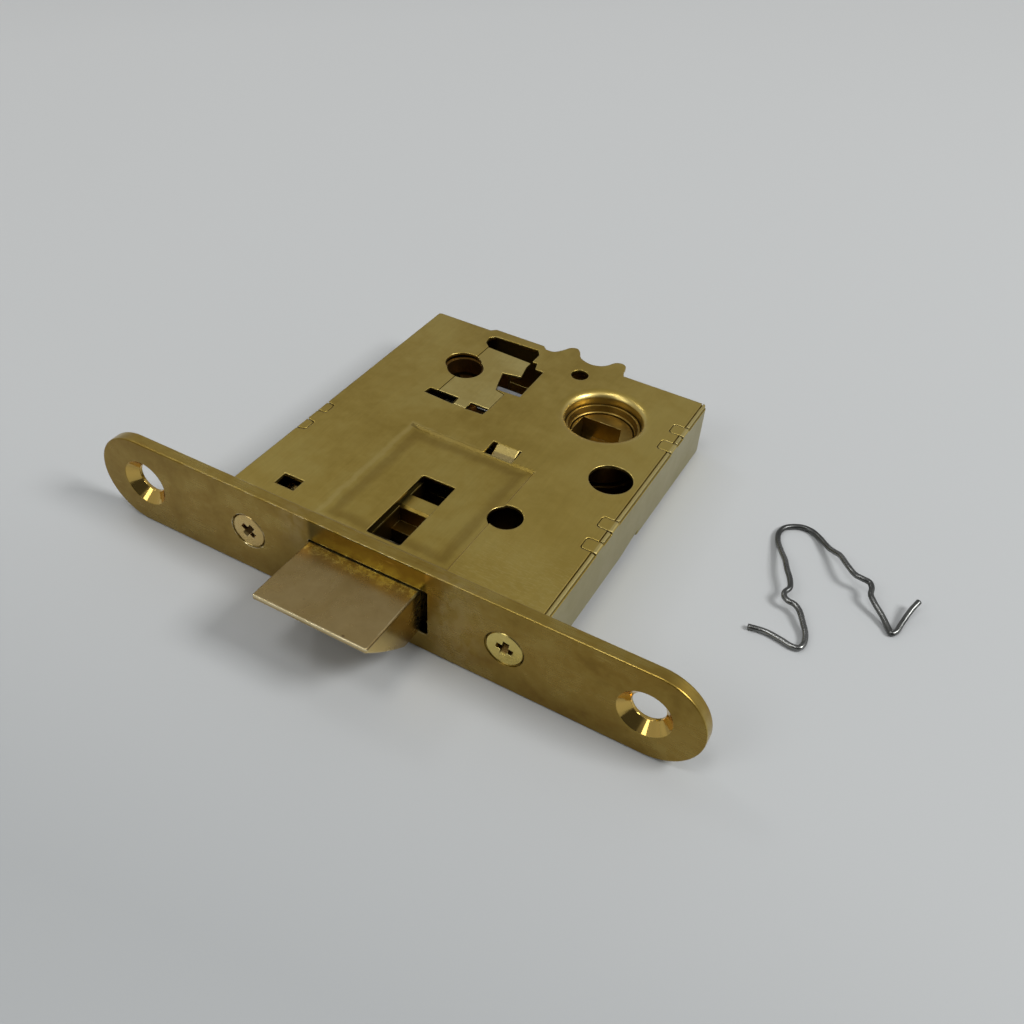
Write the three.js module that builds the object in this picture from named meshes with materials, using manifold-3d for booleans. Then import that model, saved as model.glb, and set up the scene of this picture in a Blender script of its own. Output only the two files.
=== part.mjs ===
// A mortice latch with a folded brass case, and the loose wire clip that lies beside it.
// Millimetres. X runs along the faceplate, Y from its front face into the case, Z through the thickness.
import * as THREE from "three";
import { mergeVertices } from "three/addons/utils/BufferGeometryUtils.js";
import Module from "manifold-3d";

const wasm = await Module();
wasm.setup();

// Faceplate
const faceLength = 130.4;
const faceWidth = 20;
const faceThickness = 2.6;
const faceEdgeBreak = 0.25;
const faceShift = -0.35;
const endHoleSpacing = 108.6;
const endHoleRadius = 3.2;
const endSinkRadius = 5.15;

// Case: a folded tray closed by a flush cover
const caseWidth = 69;
const caseDepth = 77;
const caseHeight = 12.6;
const caseShift = -1.5;
const traySheet = 1;
const coverSheet = 0.7;
const caseCorner = 0.9;
const caseInnerCorner = 0.3;
const caseBend = 0.6;
const caseX0 = caseShift - caseWidth / 2;
const caseX1 = caseShift + caseWidth / 2;
const caseY0 = faceThickness;
const caseY1 = faceThickness + caseDepth;
const top = caseHeight / 2;
const bottom = -top;
const floor = bottom + traySheet;
const coverUnder = top - coverSheet;

// Clearances
const seam = 0.15;
const running = 0.2;
const pressGap = 0.05;
const slack = 0.35;

// Fixing screws of the faceplate and the lugs that they thread into
const lugWidth = 7;
const lugDepth = 7.8;
const lugTop = 3.2;
const lugToWall = 0.5;
const screwSpread = caseX1 - traySheet - lugToWall - lugWidth / 2;
const screwShift = -0.5;
const screwAt = (side) => screwShift + side * screwSpread;
const screwSeam = 0.25;
const screwHeadRadius = 3.7;
const screwShankRadius = 2;
const screwLength = 14.5;
const screwHeadDepth = 2;
const threadPitch = 0.7;
const threadDepth = 0.35;
const screwRise = 0.1;
const screwChamfer = 0.2;
const screwRim = 0.25;
const threadFromLug = 0.3;
const recessWidth = 1.25;
const recessLength = 3.9;
const recessFoot = 0.7;
const recessDepth = 2.1;
const screwTurns = [0.62, 0.2];
const screwHole = screwShankRadius + seam;

// Latch bolt
const boltWidth = 24;
const boltShift = -1.7;
const boltHeight = 10.05;
const boltReach = 16;
const boltTravel = 15.5;
const boltInside = 5.4;
const boltTipThickness = 0.95;
const bevelRun = 11;
const bevelHollow = { y: 0.4, z: 1 };
const boltEdgeBreak = 0.25;

// Openings for the bolt in the faceplate and the case
const boltOpeningLeft = 0.25;
const boltOpeningRight = 1.6;
const boltOpeningOver = 0.35;
const boltOpeningUnder = 0.5;
const boltOpeningCorner = 0.5;

// Pressed panel and window over the bolt
const panelDepth = 0.45;
const panelBevels = { left: 2.4, right: 0.45, front: 0.5, rear: 0.8 };
const panelFront = 3.1;
const panelRear = 36.3;
const panel = { x0: -16.7, x1: 12.4, y0: caseY0 + panelFront, y1: caseY0 + panelRear };
const windowFront = 1.2;
const windowRear = 20.6;
const windowOpening = { x0: -6, x1: 1.5, y0: panel.y0 + windowFront, y1: panel.y0 + windowRear };
const windowCorner = 0.5;

// Middle of the follower, from the rear of the case
const hubX = 15.7;
const hubToRear = 16.1;
const hubY = caseY1 - hubToRear;

// Tail of the bolt
const boltRear = faceThickness + boltInside;
const tailLap = 3.4;
const tailFront = boltRear - tailLap;
const tailTop = 0;
const tailThickness = 2.5;
const tailLeft = -9;
const tailRight = 5;
const tailToFollower = 2.7;
const tailRear = hubY - tailToFollower;
const barTop = 3.9;
const barChamfer = 0.5;
const barDepth = 3.7;
const barSet = 11.3;
const barFront = windowOpening.y0 + barSet;
const bar = { x0: -6.2, x1: 4, y0: barFront, y1: barFront + barDepth };
const railTop = 3.6;
const railStart = 1.5;
const railBeyond = 0.7;
const rail = { x0: -7.1, x1: -6.2, y0: windowOpening.y0 + railStart, y1: windowOpening.y1 + railBeyond };
const voidWall = 1.4;
const barFoot = 2.9;
const frontVoid = { x0: -6.2, x1: 2, y0: boltRear + voidWall, y1: bar.y0 - barFoot };
const barHeel = 1;
const rearVoidLength = 5.5;
const rearVoidStart = bar.y1 + barHeel;
const rearVoid = { x0: -6.2, x1: 2, y0: rearVoidStart, y1: rearVoidStart + rearVoidLength };
const bayWall = 2.1;
const bayToFollower = 7.5;
const springBay = { x0: -5, x1: 1, y0: rearVoid.y1 + bayWall, y1: hubY - bayToFollower };
const shoulderX = -5.2;
const shoulderToFollower = 6.7;
const shoulderY = hubY - shoulderToFollower;
const hookWidth = 4.2;
const hookTop = 3.1;
const tailRivetRadius = 1.2;
const tailRivetSpacing = 10;

// Return spring of the bolt, the nub that holds its front end and the post behind it
const springWire = 0.6;
const springCoilRadius = 2.05;
const springTurns = 8;
const springSeat = 0.02;
const nubRadius = 1.1;
const nubTipRadius = 0.7;
const nubLength = 2;
const nubTaper = 0.4;
const postWidth = 3.4;
const postSet = 3;
const postFront = springBay.y1 - postSet;
const postDepth = 2.4;
const postTop = 0.1;

// Follower: the hub that a knob turns, with the arm that draws the tail back
const hubRadius = 9.6;
const hubJournal = 8.15;
const hubFlangeTop = 2.9;
const hubFlangeUnder = -4.4;
const hubTop = 3.6;
const hubUnder = -6;
const hubBore = 7;
const hubBoreFloor = -3;
const hubBoreLead = { wide: 0.6, waist: 0.2, height: 1.4, step: 0.2 };
const hubChamfer = 0.2;
const armRadius = 16.6;
const armTipRadius = 1.9;
const armRootWidth = 6.4;
const armNeckWidth = 2.4;
const armNeckRadius = 13.5;
const armThickness = 2.5;
const stopAngle = 112;
const stopRadius = 12.2;
const stopWidth = 3;
const discTop = 1.9;
const discGap = 0.1;
const discChamfer = 0.3;
const discPocketFloor = -2.6;
const discPocketLine = [[-6, 3.05], [3.2, 3.05], [4.6, -1.7], [5.6, -7.5], [-6, -7.5]];
const discSlot = { x0: -6, x1: -3.4, y: 3.05 };
const bushWall = 1;
const bushFlange = 1.25;
const bushFlangeHeight = 0.6;
const bushChamfer = 0.15;

// Flared mouth that carries the follower in the cover
const mouthRadius = 10.4;
const mouthWall = 0.9;
const mouthFillet = 0.6;
const mouthLip = 0.4;
const mouthShoulder = 0.8;
const mouthFlareSteps = 6;
const mouthSegments = 48;

// Torsion spring that returns the follower
const pegToWall = 4;
const pegToRear = 6.6;
const pegX = caseX1 - pegToWall;
const pegY = caseY1 - pegToRear;
const pegRadius = 1.6;
const pegHead = 0.75;
const pegNeck = 0.3;
const pegTop = 2.6;
const returnWire = 0.7;
const returnCoilRadius = 2.45;
const returnPitch = 1.15;
const returnTurns = 2.25;
const returnBase = -1.6;
const returnFrontLeg = 7;
const returnLegStart = 2;
const returnReach = 13.2;
const returnReachSteps = 4;

// Privacy cam, the slide that it drives, the pin that guides the slide and the collar over the cam
const camX = -19;
const camSet = 0.2;
const camY = hubY - camSet;
const camRadius = 3.85;
const camChamfer = 0.3;
const camTop = 1.5;
const camUnder = -6.1;
const camFlangeRadius = 7.2;
const camFlangeTop = -2.8;
const camFlangeUnder = -4.2;
const camPegRadius = 0.8;
const camPegReach = 6.2;
const camPegTop = -0.6;
const camHalfTurn = 30;
const camSlotWidth = 1.4;
const camSlotDepth = 1.6;
const slideTop = -0.9;
const slideUnder = -2.4;
const slideEnd = 1.5;
const slideCorner = 0.5;
const slideFront = 11.1;
const slideRear = 4.3;
const slide = { x1: -19.6, y0: camY - slideFront, y1: camY - slideRear };
const noseLength = 3.4;
const noseWidth = 1.9;
const slidePinRadius = 0.7;
const slidePinSet = { x: 2.9, y: 1.95 };
const slidePinX = camX - slidePinSet.x;
const slidePinY = slide.y0 + slidePinSet.y;
const slidePinHead = 1.4;
const slidePinFoot = 1.6;
const slidePinPlay = 0.3;
const slidePinCap = 0.5;
const collarBore = 4;
const collarWall = 0.85;
const collarChamfer = 0.25;
const collarFoot = camTop + 0.4;

// Plate let into the cover, and the steel plate under it
const insetDrop = 0.05;
const insetBevel = 0.1;
const insetLegDepth = 0.9;
const insetLegRoot = 0.1;
const frontLegSet = 13.7;
const rearLegSet = 8.2;
const frontLeg = { x0: -13.2, x1: -10.7, y: hubY - frontLegSet };
const rearLeg = { x0: -16.5, x1: -11.5, y: hubY + rearLegSet };
const retainerFront = 11.5;
const retainerRear = 2;
const retainer = { x0: -9.4, x1: 4.6, y0: hubY - retainerFront, y1: hubY - retainerRear };
const retainerThickness = 0.8;
const retainerCorner = 0.6;
const retainerBevel = 0.12;
const retainerRivetRadius = 1;
const retainerRivetSet = { x: 1, y: 2.6 };
const retainerRivetX = (retainer.x0 + retainer.x1) / 2 + retainerRivetSet.x;
const retainerRivetY = retainer.y0 + retainerRivetSet.y;
const rivetHeadGrow = 0.8;
const rivetHeadHeight = 0.7;
const rivetHeadRound = 0.35;
const rivetSunk = 0.35;

// Round holes through the case for furniture bolts and rivets: x, y, radius
const bigBoltSet = { x: 6.9, y: 18.8 };
const bigBoltHole = [caseX1 - bigBoltSet.x, hubY - bigBoltSet.y, 4.5];
const smallBoltSet = 21.1;
const smallBoltHole = [14, caseY0 + smallBoltSet, 3.5];
const rivetToRear = 5.1;
const rivetHole = [4.4, caseY1 - rivetToRear, 2];
const camHoleRadius = 4.1;
const camHoleOffset = { x: 0.8, y: 0.9 };
const insetHoleOffset = { x: 0.6, y: 0.6 };
const camHoles = [
  [camX - camHoleOffset.x, camY + camHoleOffset.y], [camX + insetHoleOffset.x, camY - insetHoleOffset.y],
];
const peepFromScrew = 0.1;
const peepWidth = 4.6;
const peepFront = 5.8;
const peepDepth = 3.4;
const peepHole = {
  x0: screwAt(-1) + peepFromScrew,
  x1: screwAt(-1) + peepFromScrew + peepWidth,
  y0: caseY0 + peepFront,
  y1: caseY0 + peepFront + peepDepth,
};

// Outlines of the plate let into the cover and of the openings round it: x, and distance behind the follower
const insetPoints = [
  [-18.9, -11.5], [-13.8, -11.5], [-13.6, -14], [-10.4, -14], [-10.4, -11.6], [-6, -11.6], [-6, -4.9],
  [-8.4, -4.3], [-9.3, -1.5], [-10.3, 2.1], [-6.1, 2.9], [-7, 7.2], [-7, 9.2], [-18.6, 9.7],
];
const cornerPoints = [
  [-8.4, -4.3], [-2.7, -4], [-2.9, 7.4], [-5, 7.5], [-5.8, 9.8], [-7, 9.8], [-7, 7.2], [-6.1, 2.9],
  [-10.3, 2.1], [-9.3, -1.5],
];
const frontSlotPoints = [
  [[-21.1, -13.7], [-20.8, -11.5], [-13.8, -11.5], [-13.6, -14.2]],
  [[-10.4, -14.2], [-10.4, -11.6], [-6, -11.6], [-6.2, -14]],
];
const lipSlotPoints = [
  [-18.6, 9.7], [-20, 11], [-20.3, 13.2], [-19.3, 14.4], [-8.2, 14.8], [-7, 13.1], [-7, 9.2],
];

// Lanced tab at the rear of the pressed panel
const lanceFront = 0.2;
const lanceRear = 4;
const lance = { x0: 0.4, x1: 7, y0: panel.y1 - lanceFront, y1: panel.y1 + lanceRear };
const lanceDrop = 1.9;
const lanceRoot = 0.3;
const lanceGaps = { left: 1.1, right: 0.6, front: 0.1 };

// Clinch tabs of the tray over the cover
const clinchWidth = 3;
const clinchReach = 2.3;
const leftClinchReach = 1;
const clinchSkin = 0.4;
const clinchCorner = 0.7;
const clinchRelief = 0.8;
const clinchFromFront = [22.9, 29.8];
const clinchFromRear = [18.6, 12.1];
const clinchStations = [...clinchFromFront.map((y) => caseY0 + y), ...clinchFromRear.map((y) => caseY1 - y)];
const leftClinchShift = 1.1;

// Side edges of the cover: they lie on the walls, with a line scored over the right wall's inner face
const coverEdge = 0.25;
const coverCorner = 0.65;
const scoreWidth = 0.3;
const scoreDepth = 0.4;

// Rear edge of the cover: a bulge behind the long slot, and two horns
const bulge = { x0: -21.6, x1: -6.9, depth: 1 };
const hornRoot = 2;
const hornSteps = 3;
const hornLine = [
  [-7, -0.2], [-4.8, 0.2], [-3.4, 2], [-2.4, 3.8], [-0.9, 4.4], [0.3, 3.3], [1.6, 1.2], [4.3, 0.2],
  [6.6, 0.7], [8, 2], [9, 3.8], [10.5, 4.5], [11.8, 3.6], [12.2, 1.6], [13, -0.2],
];

// Relief in the lower edge of the right-hand wall
const reliefFront = 34.6;
const reliefRear = 43.4;
const relief = { y0: caseY0 + reliefFront, y1: caseY0 + reliefRear, depth: 1.5, height: 1.9, front: 0.5 };

// Rails beside the bolt
const guideCorner = 0.8;
const leftGuideReach = 27.4;
const rightGuideReach = 16.9;
const leftGuide = { width: 2.2, end: caseY0 + leftGuideReach };
const rightGuide = { width: 1.8, end: caseY0 + rightGuideReach };

// Loose wire clip: points along its middle line, as x, distance from the faceplate and lift off the table
const clipWire = 1.15;
const clipSteps = 2;
const clipSides = 8;
const clipPath = [
  [60.8, 33.2, 0], [64.2, 33.7, 0], [67.3, 33.3, 0], [69.7, 32.8, 0], [71, 33.1, 0.05],
  [71.4, 34.6, 0.15], [71, 36.6, 0.35], [69.7, 38.8, 0.75], [68.2, 41, 1.15], [66.9, 41.8, 1.45],
  [65.6, 41.9, 1.55], [64.6, 42.5, 1.65], [64.3, 43.5, 1.75], [64.8, 45.1, 1.85], [64.1, 47.2, 1.95],
  [62.8, 49.5, 1.85], [61.5, 52.2, 1.55], [59.9, 55, 0.85], [58.4, 57.9, 0.25], [57.7, 60.5, 0],
  [58.2, 62.6, 0], [59.7, 64, 0], [61.6, 64.8, 0], [63.6, 64.6, 0.05], [65.3, 63.6, 0.15],
  [68.1, 60.9, 0.75], [69.4, 59.9, 1.25], [70.8, 58.8, 1.85], [73, 56.2, 2.35], [75, 54.4, 2.55],
  [76.6, 54.1, 2.55], [78, 54, 2.35], [78.7, 53, 2.15], [79, 51.4, 1.95], [80.3, 50, 1.45],
  [82.3, 48.4, 0.75], [84.1, 46.6, 0.15], [85, 45.6, 0], [85.7, 46.4, 0.05], [86.1, 48.6, 0.45],
  [86.8, 52, 1.35], [87.6, 54.4, 2.05],
];

// Places that follow from the sizes above
const panelUnder = coverUnder - panelDepth;
const boltX0 = boltShift - boltWidth / 2;
const boltX1 = boltShift + boltWidth / 2;
const boltTop = panelUnder - running;
const boltUnder = boltTop - boltHeight;
const tailUnder = tailTop - tailThickness;
const armSwing = Math.asin(boltTravel / 2 / armRadius);
const armTipY = hubY - boltTravel / 2;
const hookFront = armTipY + armTipRadius + slack;
const camStart = THREE.MathUtils.degToRad(-camHalfTurn);
const mouthBore = hubJournal + running;
const round = 32;

// Turns a closed geometry into a solid for joining and cutting.
function solid(geometry) {
  const plain = new THREE.BufferGeometry();
  plain.setAttribute("position", geometry.getAttribute("position"));
  plain.setIndex(geometry.index);
  const merged = mergeVertices(plain, 1e-4);
  const corners = [];
  const index = merged.index.array;
  for (let i = 0; i < index.length; i += 3) {
    const [a, b, c] = [index[i], index[i + 1], index[i + 2]];
    if (a !== b && b !== c && c !== a) corners.push(a, b, c);
  }
  const vertProperties = merged.attributes.position.array;
  const triVerts = new Uint32Array(corners);
  return new wasm.Manifold(new wasm.Mesh({ numProp: 3, vertProperties, triVerts }));
}

// Turns a solid back into a geometry.
function geometryOf(body) {
  const mesh = body.getMesh();
  const geometry = new THREE.BufferGeometry();
  geometry.setAttribute("position", new THREE.BufferAttribute(mesh.vertProperties, 3));
  geometry.setIndex(new THREE.BufferAttribute(mesh.triVerts, 1));
  geometry.computeVertexNormals();
  return geometry;
}

function join(...bodies) {
  return bodies.reduce((whole, body) => whole.add(body));
}

function cut(body, ...tools) {
  return tools.reduce((rest, tool) => rest.subtract(tool), body);
}

function block(x0, x1, y0, y1, z0, z1) {
  const box = new THREE.BoxGeometry(x1 - x0, y1 - y0, z1 - z0);
  return solid(box.translate((x0 + x1) / 2, (y0 + y1) / 2, (z0 + z1) / 2));
}

function boxOf(area, z0, z1) {
  return block(area.x0, area.x1, area.y0, area.y1, z0, z1);
}

function outline(points) {
  return new THREE.Shape(points.map(([x, y]) => new THREE.Vector2(x, y)));
}

function roundedRect(x0, x1, y0, y1, radius) {
  const shape = new THREE.Shape();
  shape.moveTo(x0 + radius, y0);
  shape.absarc(x1 - radius, y0 + radius, radius, -Math.PI / 2, 0);
  shape.absarc(x1 - radius, y1 - radius, radius, 0, Math.PI / 2);
  shape.absarc(x0 + radius, y1 - radius, radius, Math.PI / 2, Math.PI);
  shape.absarc(x0 + radius, y0 + radius, radius, Math.PI, 1.5 * Math.PI);
  return shape;
}

// An upright slab of the outline between two heights.
function slab(shape, z0, z1, curveSegments = 6) {
  const geometry = new THREE.ExtrudeGeometry(shape, { depth: z1 - z0, bevelEnabled: false, curveSegments });
  return solid(geometry.translate(0, 0, z0));
}

// A slab with its edges broken by a bevel at both ends.
function bevelledSlab(shape, z0, z1, bevel, curveSegments = 12) {
  const geometry = new THREE.ExtrudeGeometry(shape, {
    depth: z1 - z0 - 2 * bevel,
    bevelThickness: bevel,
    bevelSize: bevel,
    bevelOffset: -bevel,
    bevelSegments: 2,
    curveSegments,
  });
  return solid(geometry.translate(0, 0, z0 + bevel));
}

// A turned solid about the upright line through x, y; the profile lists radius and height, bottom first.
function turned(profile, x, y, segments = round) {
  const lathe = new THREE.LatheGeometry(profile.map(([r, z]) => new THREE.Vector2(r, z)), segments);
  return solid(lathe.rotateX(Math.PI / 2).translate(x, y, 0));
}

function drum(x, y, radius, z0, z1, segments = round) {
  return turned([[0, z0], [radius, z0], [radius, z1], [0, z1]], x, y, segments);
}

// A turned solid about a line along Y through x, z; the profile lists radius and y, front first.
function turnedAlongY(profile, x, z, segments = 32) {
  const lathe = new THREE.LatheGeometry(profile.map(([r, y]) => new THREE.Vector2(r, y)), segments);
  return solid(lathe.translate(x, 0, z));
}

// A four-sided frustum between a lower and an upper rectangle.
function frustum(lower, z0, upper, z1) {
  const ring = (area, z) => [
    [area.x0, area.y0, z],
    [area.x1, area.y0, z],
    [area.x1, area.y1, z],
    [area.x0, area.y1, z],
  ];
  const geometry = new THREE.BufferGeometry();
  const corners = [...ring(lower, z0), ...ring(upper, z1)].flat();
  geometry.setAttribute("position", new THREE.Float32BufferAttribute(corners, 3));
  const faces = [0, 2, 1, 0, 3, 2, 4, 5, 6, 4, 6, 7];
  for (let side = 0; side < 4; side += 1) {
    const next = (side + 1) % 4;
    faces.push(side, next, next + 4, side, next + 4, side + 4);
  }
  geometry.setIndex(faces);
  return solid(geometry);
}

function grown(area, by) {
  return { x0: area.x0 - by, x1: area.x1 + by, y0: area.y0 - by, y1: area.y1 + by };
}

// A round wire along a curve.
function wire(curve, diameter, steps, sides) {
  const section = [];
  for (let i = 0; i < sides; i += 1) {
    const angle = (i / sides) * 2 * Math.PI;
    section.push(new THREE.Vector2(Math.cos(angle), Math.sin(angle)).multiplyScalar(diameter / 2));
  }
  const shape = new THREE.Shape(section);
  return solid(new THREE.ExtrudeGeometry(shape, { steps, extrudePath: curve, bevelEnabled: false }));
}

// Prints the least gap between the turns of a wire, on the points of its middle line.
function printLeastGap(name, points, diameter) {
  const apart = 3 * diameter;
  let least = Infinity;
  points.forEach((point, i) => {
    let along = 0;
    for (let j = i + 1; j < points.length; j += 1) {
      along += points[j].distanceTo(points[j - 1]);
      if (along > apart) least = Math.min(least, point.distanceTo(points[j]) - diameter);
    }
  });
  console.log(`${name}: least gap to itself ${least.toFixed(2)} mm`);
}

const palette = {
  plateBrass: [0xa98f45, 0.42, 0.85],
  caseBrass: [0x9a8a4e, 0.5, 0.8],
  boltBrass: [0xb39a58, 0.36, 0.85],
  innerBrass: [0x8a7434, 0.5, 0.8],
  pinkBrass: [0xb98a62, 0.4, 0.85],
  yellowBrass: [0xc2a24a, 0.36, 0.88],
  zinc: [0x8d8a80, 0.5, 0.7],
  steel: [0x9a9c9e, 0.35, 0.9],
};
const lock = new THREE.Group();

function part(name, body, [color, roughness, metalness]) {
  const material = new THREE.MeshStandardMaterial({ color, roughness, metalness });
  const mesh = new THREE.Mesh(geometryOf(body), material);
  mesh.name = name;
  lock.add(mesh);
}

// Stands an upright slab's outline on edge: its x and y become y and z, and its height runs along X.
function slabAlongX(shape, x0, x1, bevel, curveSegments = 12) {
  const depth = x1 - x0 - 2 * bevel;
  const geometry = new THREE.ExtrudeGeometry(shape, {
    depth,
    bevelThickness: bevel,
    bevelSize: bevel,
    bevelOffset: -bevel,
    bevelSegments: 1,
    curveSegments,
  });
  const turn = new THREE.Matrix4().makeBasis(
    new THREE.Vector3(0, 1, 0),
    new THREE.Vector3(0, 0, 1),
    new THREE.Vector3(1, 0, 0),
  );
  return solid(geometry.translate(0, 0, x0 + bevel).applyMatrix4(turn));
}

// Faceplate
{
  const shape = new THREE.Shape();
  const half = faceWidth / 2;
  const reach = faceLength / 2 - half;
  shape.absarc(faceShift + reach, 0, half, -Math.PI / 2, Math.PI / 2);
  shape.absarc(faceShift - reach, 0, half, Math.PI / 2, 1.5 * Math.PI);
  const geometry = new THREE.ExtrudeGeometry(shape, {
    depth: faceThickness - 2 * faceEdgeBreak,
    bevelThickness: faceEdgeBreak,
    bevelSize: faceEdgeBreak,
    bevelOffset: -faceEdgeBreak,
    bevelSegments: 2,
    curveSegments: 16,
  });
  let plate = solid(geometry.translate(0, 0, faceEdgeBreak).rotateX(-Math.PI / 2));
  for (const side of [-1, 1]) {
    const x = faceShift + (side * endHoleSpacing) / 2;
    const sink = endSinkRadius - endHoleRadius;
    plate = cut(plate, turnedAlongY([
      [0, -1], [endSinkRadius + 1, -1], [endHoleRadius, sink], [endHoleRadius, faceThickness + 1],
      [0, faceThickness + 1],
    ], x, 0, 36));
    plate = cut(plate, screwShape(screwAt(side), screwSeam, -1, faceThickness + 1));
  }
  const opening = roundedRect(
    boltX0 - boltOpeningLeft, boltX1 + boltOpeningRight,
    -boltTop - boltOpeningOver, boltOpeningUnder - boltUnder, boltOpeningCorner,
  );
  const tool = new THREE.ExtrudeGeometry(opening, { depth: 3 * faceThickness, bevelEnabled: false });
  plate = cut(plate, solid(tool.translate(0, 0, -faceThickness).rotateX(-Math.PI / 2)));
  part("faceplate", plate, palette.plateBrass);
}

// The outside of a faceplate screw, grown by a gap, from one distance to another.
function screwShape(x, gap, from, to) {
  const head = screwHeadRadius + gap;
  const shank = screwShankRadius + gap;
  return turnedAlongY([
    [0, from], [head, from], [head, screwRim], [shank, screwHeadDepth], [shank, to], [0, to],
  ], x, 0);
}

// One arm of a screw's cross recess: long at the face, short at its foot.
function recessArm() {
  const [reach, foot] = [recessLength / 2, recessFoot / 2];
  const shape = outline([[-reach, screwRise + 0.1], [-foot, -recessDepth], [foot, -recessDepth],
    [reach, screwRise + 0.1]]);
  const arm = new THREE.ExtrudeGeometry(shape, { depth: recessWidth, bevelEnabled: false });
  return arm.translate(0, 0, -recessWidth / 2).rotateX(Math.PI);
}

// Faceplate screws: countersunk, cross recess, threaded where the tip comes out of the lug
[-1, 1].forEach((side, index) => {
  const x = screwAt(side);
  const lugRear = caseY0 + traySheet + lugDepth;
  const profile = [[0, screwRise], [screwHeadRadius - screwChamfer, screwRise]];
  profile.push([screwHeadRadius, screwRise + screwChamfer], [screwShankRadius, screwHeadDepth]);
  profile.push([screwShankRadius, lugRear + threadFromLug]);
  let y = lugRear + threadFromLug;
  while (y + threadPitch < screwLength - screwChamfer) {
    profile.push([screwShankRadius - threadDepth, y + threadPitch / 2], [screwShankRadius, y + threadPitch]);
    y += threadPitch;
  }
  profile.push([screwShankRadius - threadDepth, screwLength], [0, screwLength]);
  const cross = [0, 1].map((turn) => {
    const arm = recessArm().rotateY(screwTurns[index] + (turn * Math.PI) / 2);
    return solid(arm.translate(x, 0, 0));
  });
  const screw = cut(turnedAlongY(profile, x, 0), ...cross);
  const hand = side < 0 ? "left" : "right";
  part(`${hand}_face_screw`, screw, side < 0 ? palette.pinkBrass : palette.yellowBrass);

  const lug = block(x - lugWidth / 2, x + lugWidth / 2, lugRear - lugDepth, lugRear, floor, lugTop);
  const beyond = screwLength + 1;
  const bore = turnedAlongY([[0, 0], [screwHole, 0], [screwHole, beyond], [0, beyond]], x, 0);
  part(`${hand}_screw_lug`, cut(lug, bore), palette.innerBrass);
});

// Case tray: base, four walls and the clinch tabs
{
  const inner = roundedRect(
    caseX0 + traySheet, caseX1 - traySheet, caseY0 + traySheet, caseY1 - traySheet,
    caseInnerCorner,
  );
  const outer = roundedRect(caseX0, caseX1, caseY0, caseY1, caseCorner);
  let tray = bevelledSlab(outer, bottom, top + 2 * caseBend, caseBend, 5);
  tray = cut(tray, block(caseX0 - 1, caseX1 + 1, caseY0 - 1, caseY1 + 1, coverUnder, top + 2));
  tray = cut(tray, slab(inner, floor, top + 1, 5));
  tray = cut(tray, block(boltX0 - slack, boltX1 + slack, caseY0 - 1, caseY0 + 2 * traySheet, floor, top));
  for (const side of [-1, 1]) {
    const bore = [[0, 0], [screwHole, 0], [screwHole, caseY0 + 2 * traySheet], [0, caseY0 + 2 * traySheet]];
    tray = cut(tray, turnedAlongY(bore, screwAt(side), 0));
  }
  for (const place of clinchPlaces()) tray = join(tray, clinchTab(place), clinchRoot(place));
  for (const [x, y, radius] of [bigBoltHole, smallBoltHole, rivetHole]) {
    tray = cut(tray, drum(x, y, radius, bottom - 1, floor + 1));
  }
  tray = cut(tray, drum(hubX, hubY, mouthBore + bushWall + pressGap, bottom - 1, floor + 1));
  tray = cut(tray, drum(camX, camY, camRadius + running + bushWall + pressGap, bottom - 1, floor + 1));
  const notch = outline([
    [relief.y0, bottom - 1], [relief.y0, bottom + relief.front], [relief.y1, bottom + relief.height],
    [relief.y1, bottom - 1],
  ]);
  part("case_tray", cut(tray, slabAlongX(notch, caseX1 - relief.depth, caseX1 + 1, 0)), palette.caseBrass);
}

// Where the clinch tabs stand: the outer face of the wall, the way to it, the tab's reach and its middle.
function clinchPlaces() {
  const right = clinchStations.map((y) => ({ wall: caseX1, side: 1, reach: clinchReach, y }));
  const leftStations = clinchStations.slice(0, clinchFromFront.length).map((y) => y + leftClinchShift);
  const left = leftStations.map((y) => ({ wall: caseX0, side: -1, reach: leftClinchReach, y }));
  return [...left, ...right];
}

// A clinch tab lying over the cover.
function clinchTab({ wall, side, reach, y }) {
  const half = clinchWidth / 2;
  const tip = wall - side * (traySheet + reach);
  const root = wall - side * caseBend;
  const shape = roundedRect(Math.min(tip, root), Math.max(tip, root), y - half, y + half, clinchCorner);
  return slab(shape, top - clinchSkin, top, 4);
}

// The rise of the wall that carries the tab, with its outer edge bent over.
function clinchRoot({ wall, side, y }) {
  const half = clinchWidth / 2;
  const inner = wall - side * traySheet;
  const bend = wall - side * caseBend / 2;
  const foot = coverUnder - 0.1;
  const shape = outline([[inner, foot], [wall, foot], [wall, top - caseBend / 2], [bend, top], [inner, top]]);
  const geometry = new THREE.ExtrudeGeometry(shape, { depth: clinchWidth, bevelEnabled: false });
  return solid(geometry.rotateX(Math.PI / 2).translate(0, y + half, 0));
}

// The room that the cover leaves for a tab: over its tip, and wider towards the edge of the wall.
function clinchRoom({ wall, side, reach, y }) {
  const half = clinchWidth / 2 + running;
  const tip = wall - side * (traySheet + reach + running);
  const inner = wall - side * (traySheet + running);
  const outer = wall + side * 1;
  const over = roundedRect(
    Math.min(tip, inner) - (side < 0 ? 1 : 0), Math.max(tip, inner) + (side < 0 ? 0 : 1), y - half, y + half,
    clinchCorner,
  );
  const wide = half + clinchRelief;
  const through = outline([
    [inner, y - half], [outer, y - wide], [outer, y + wide], [inner, y + half],
  ]);
  return join(slab(over, top - clinchSkin - pressGap, top + 1, 4), slab(through, coverUnder - 1, top + 1));
}

// Outlines in the cover
const fromFollower = (points) => points.map(([x, y]) => [x, hubY + y]);
const insetLine = fromFollower(insetPoints);
const cornerOpening = fromFollower(cornerPoints);
const frontSlots = frontSlotPoints.map(fromFollower);
const lipSlot = fromFollower(lipSlotPoints);

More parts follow.
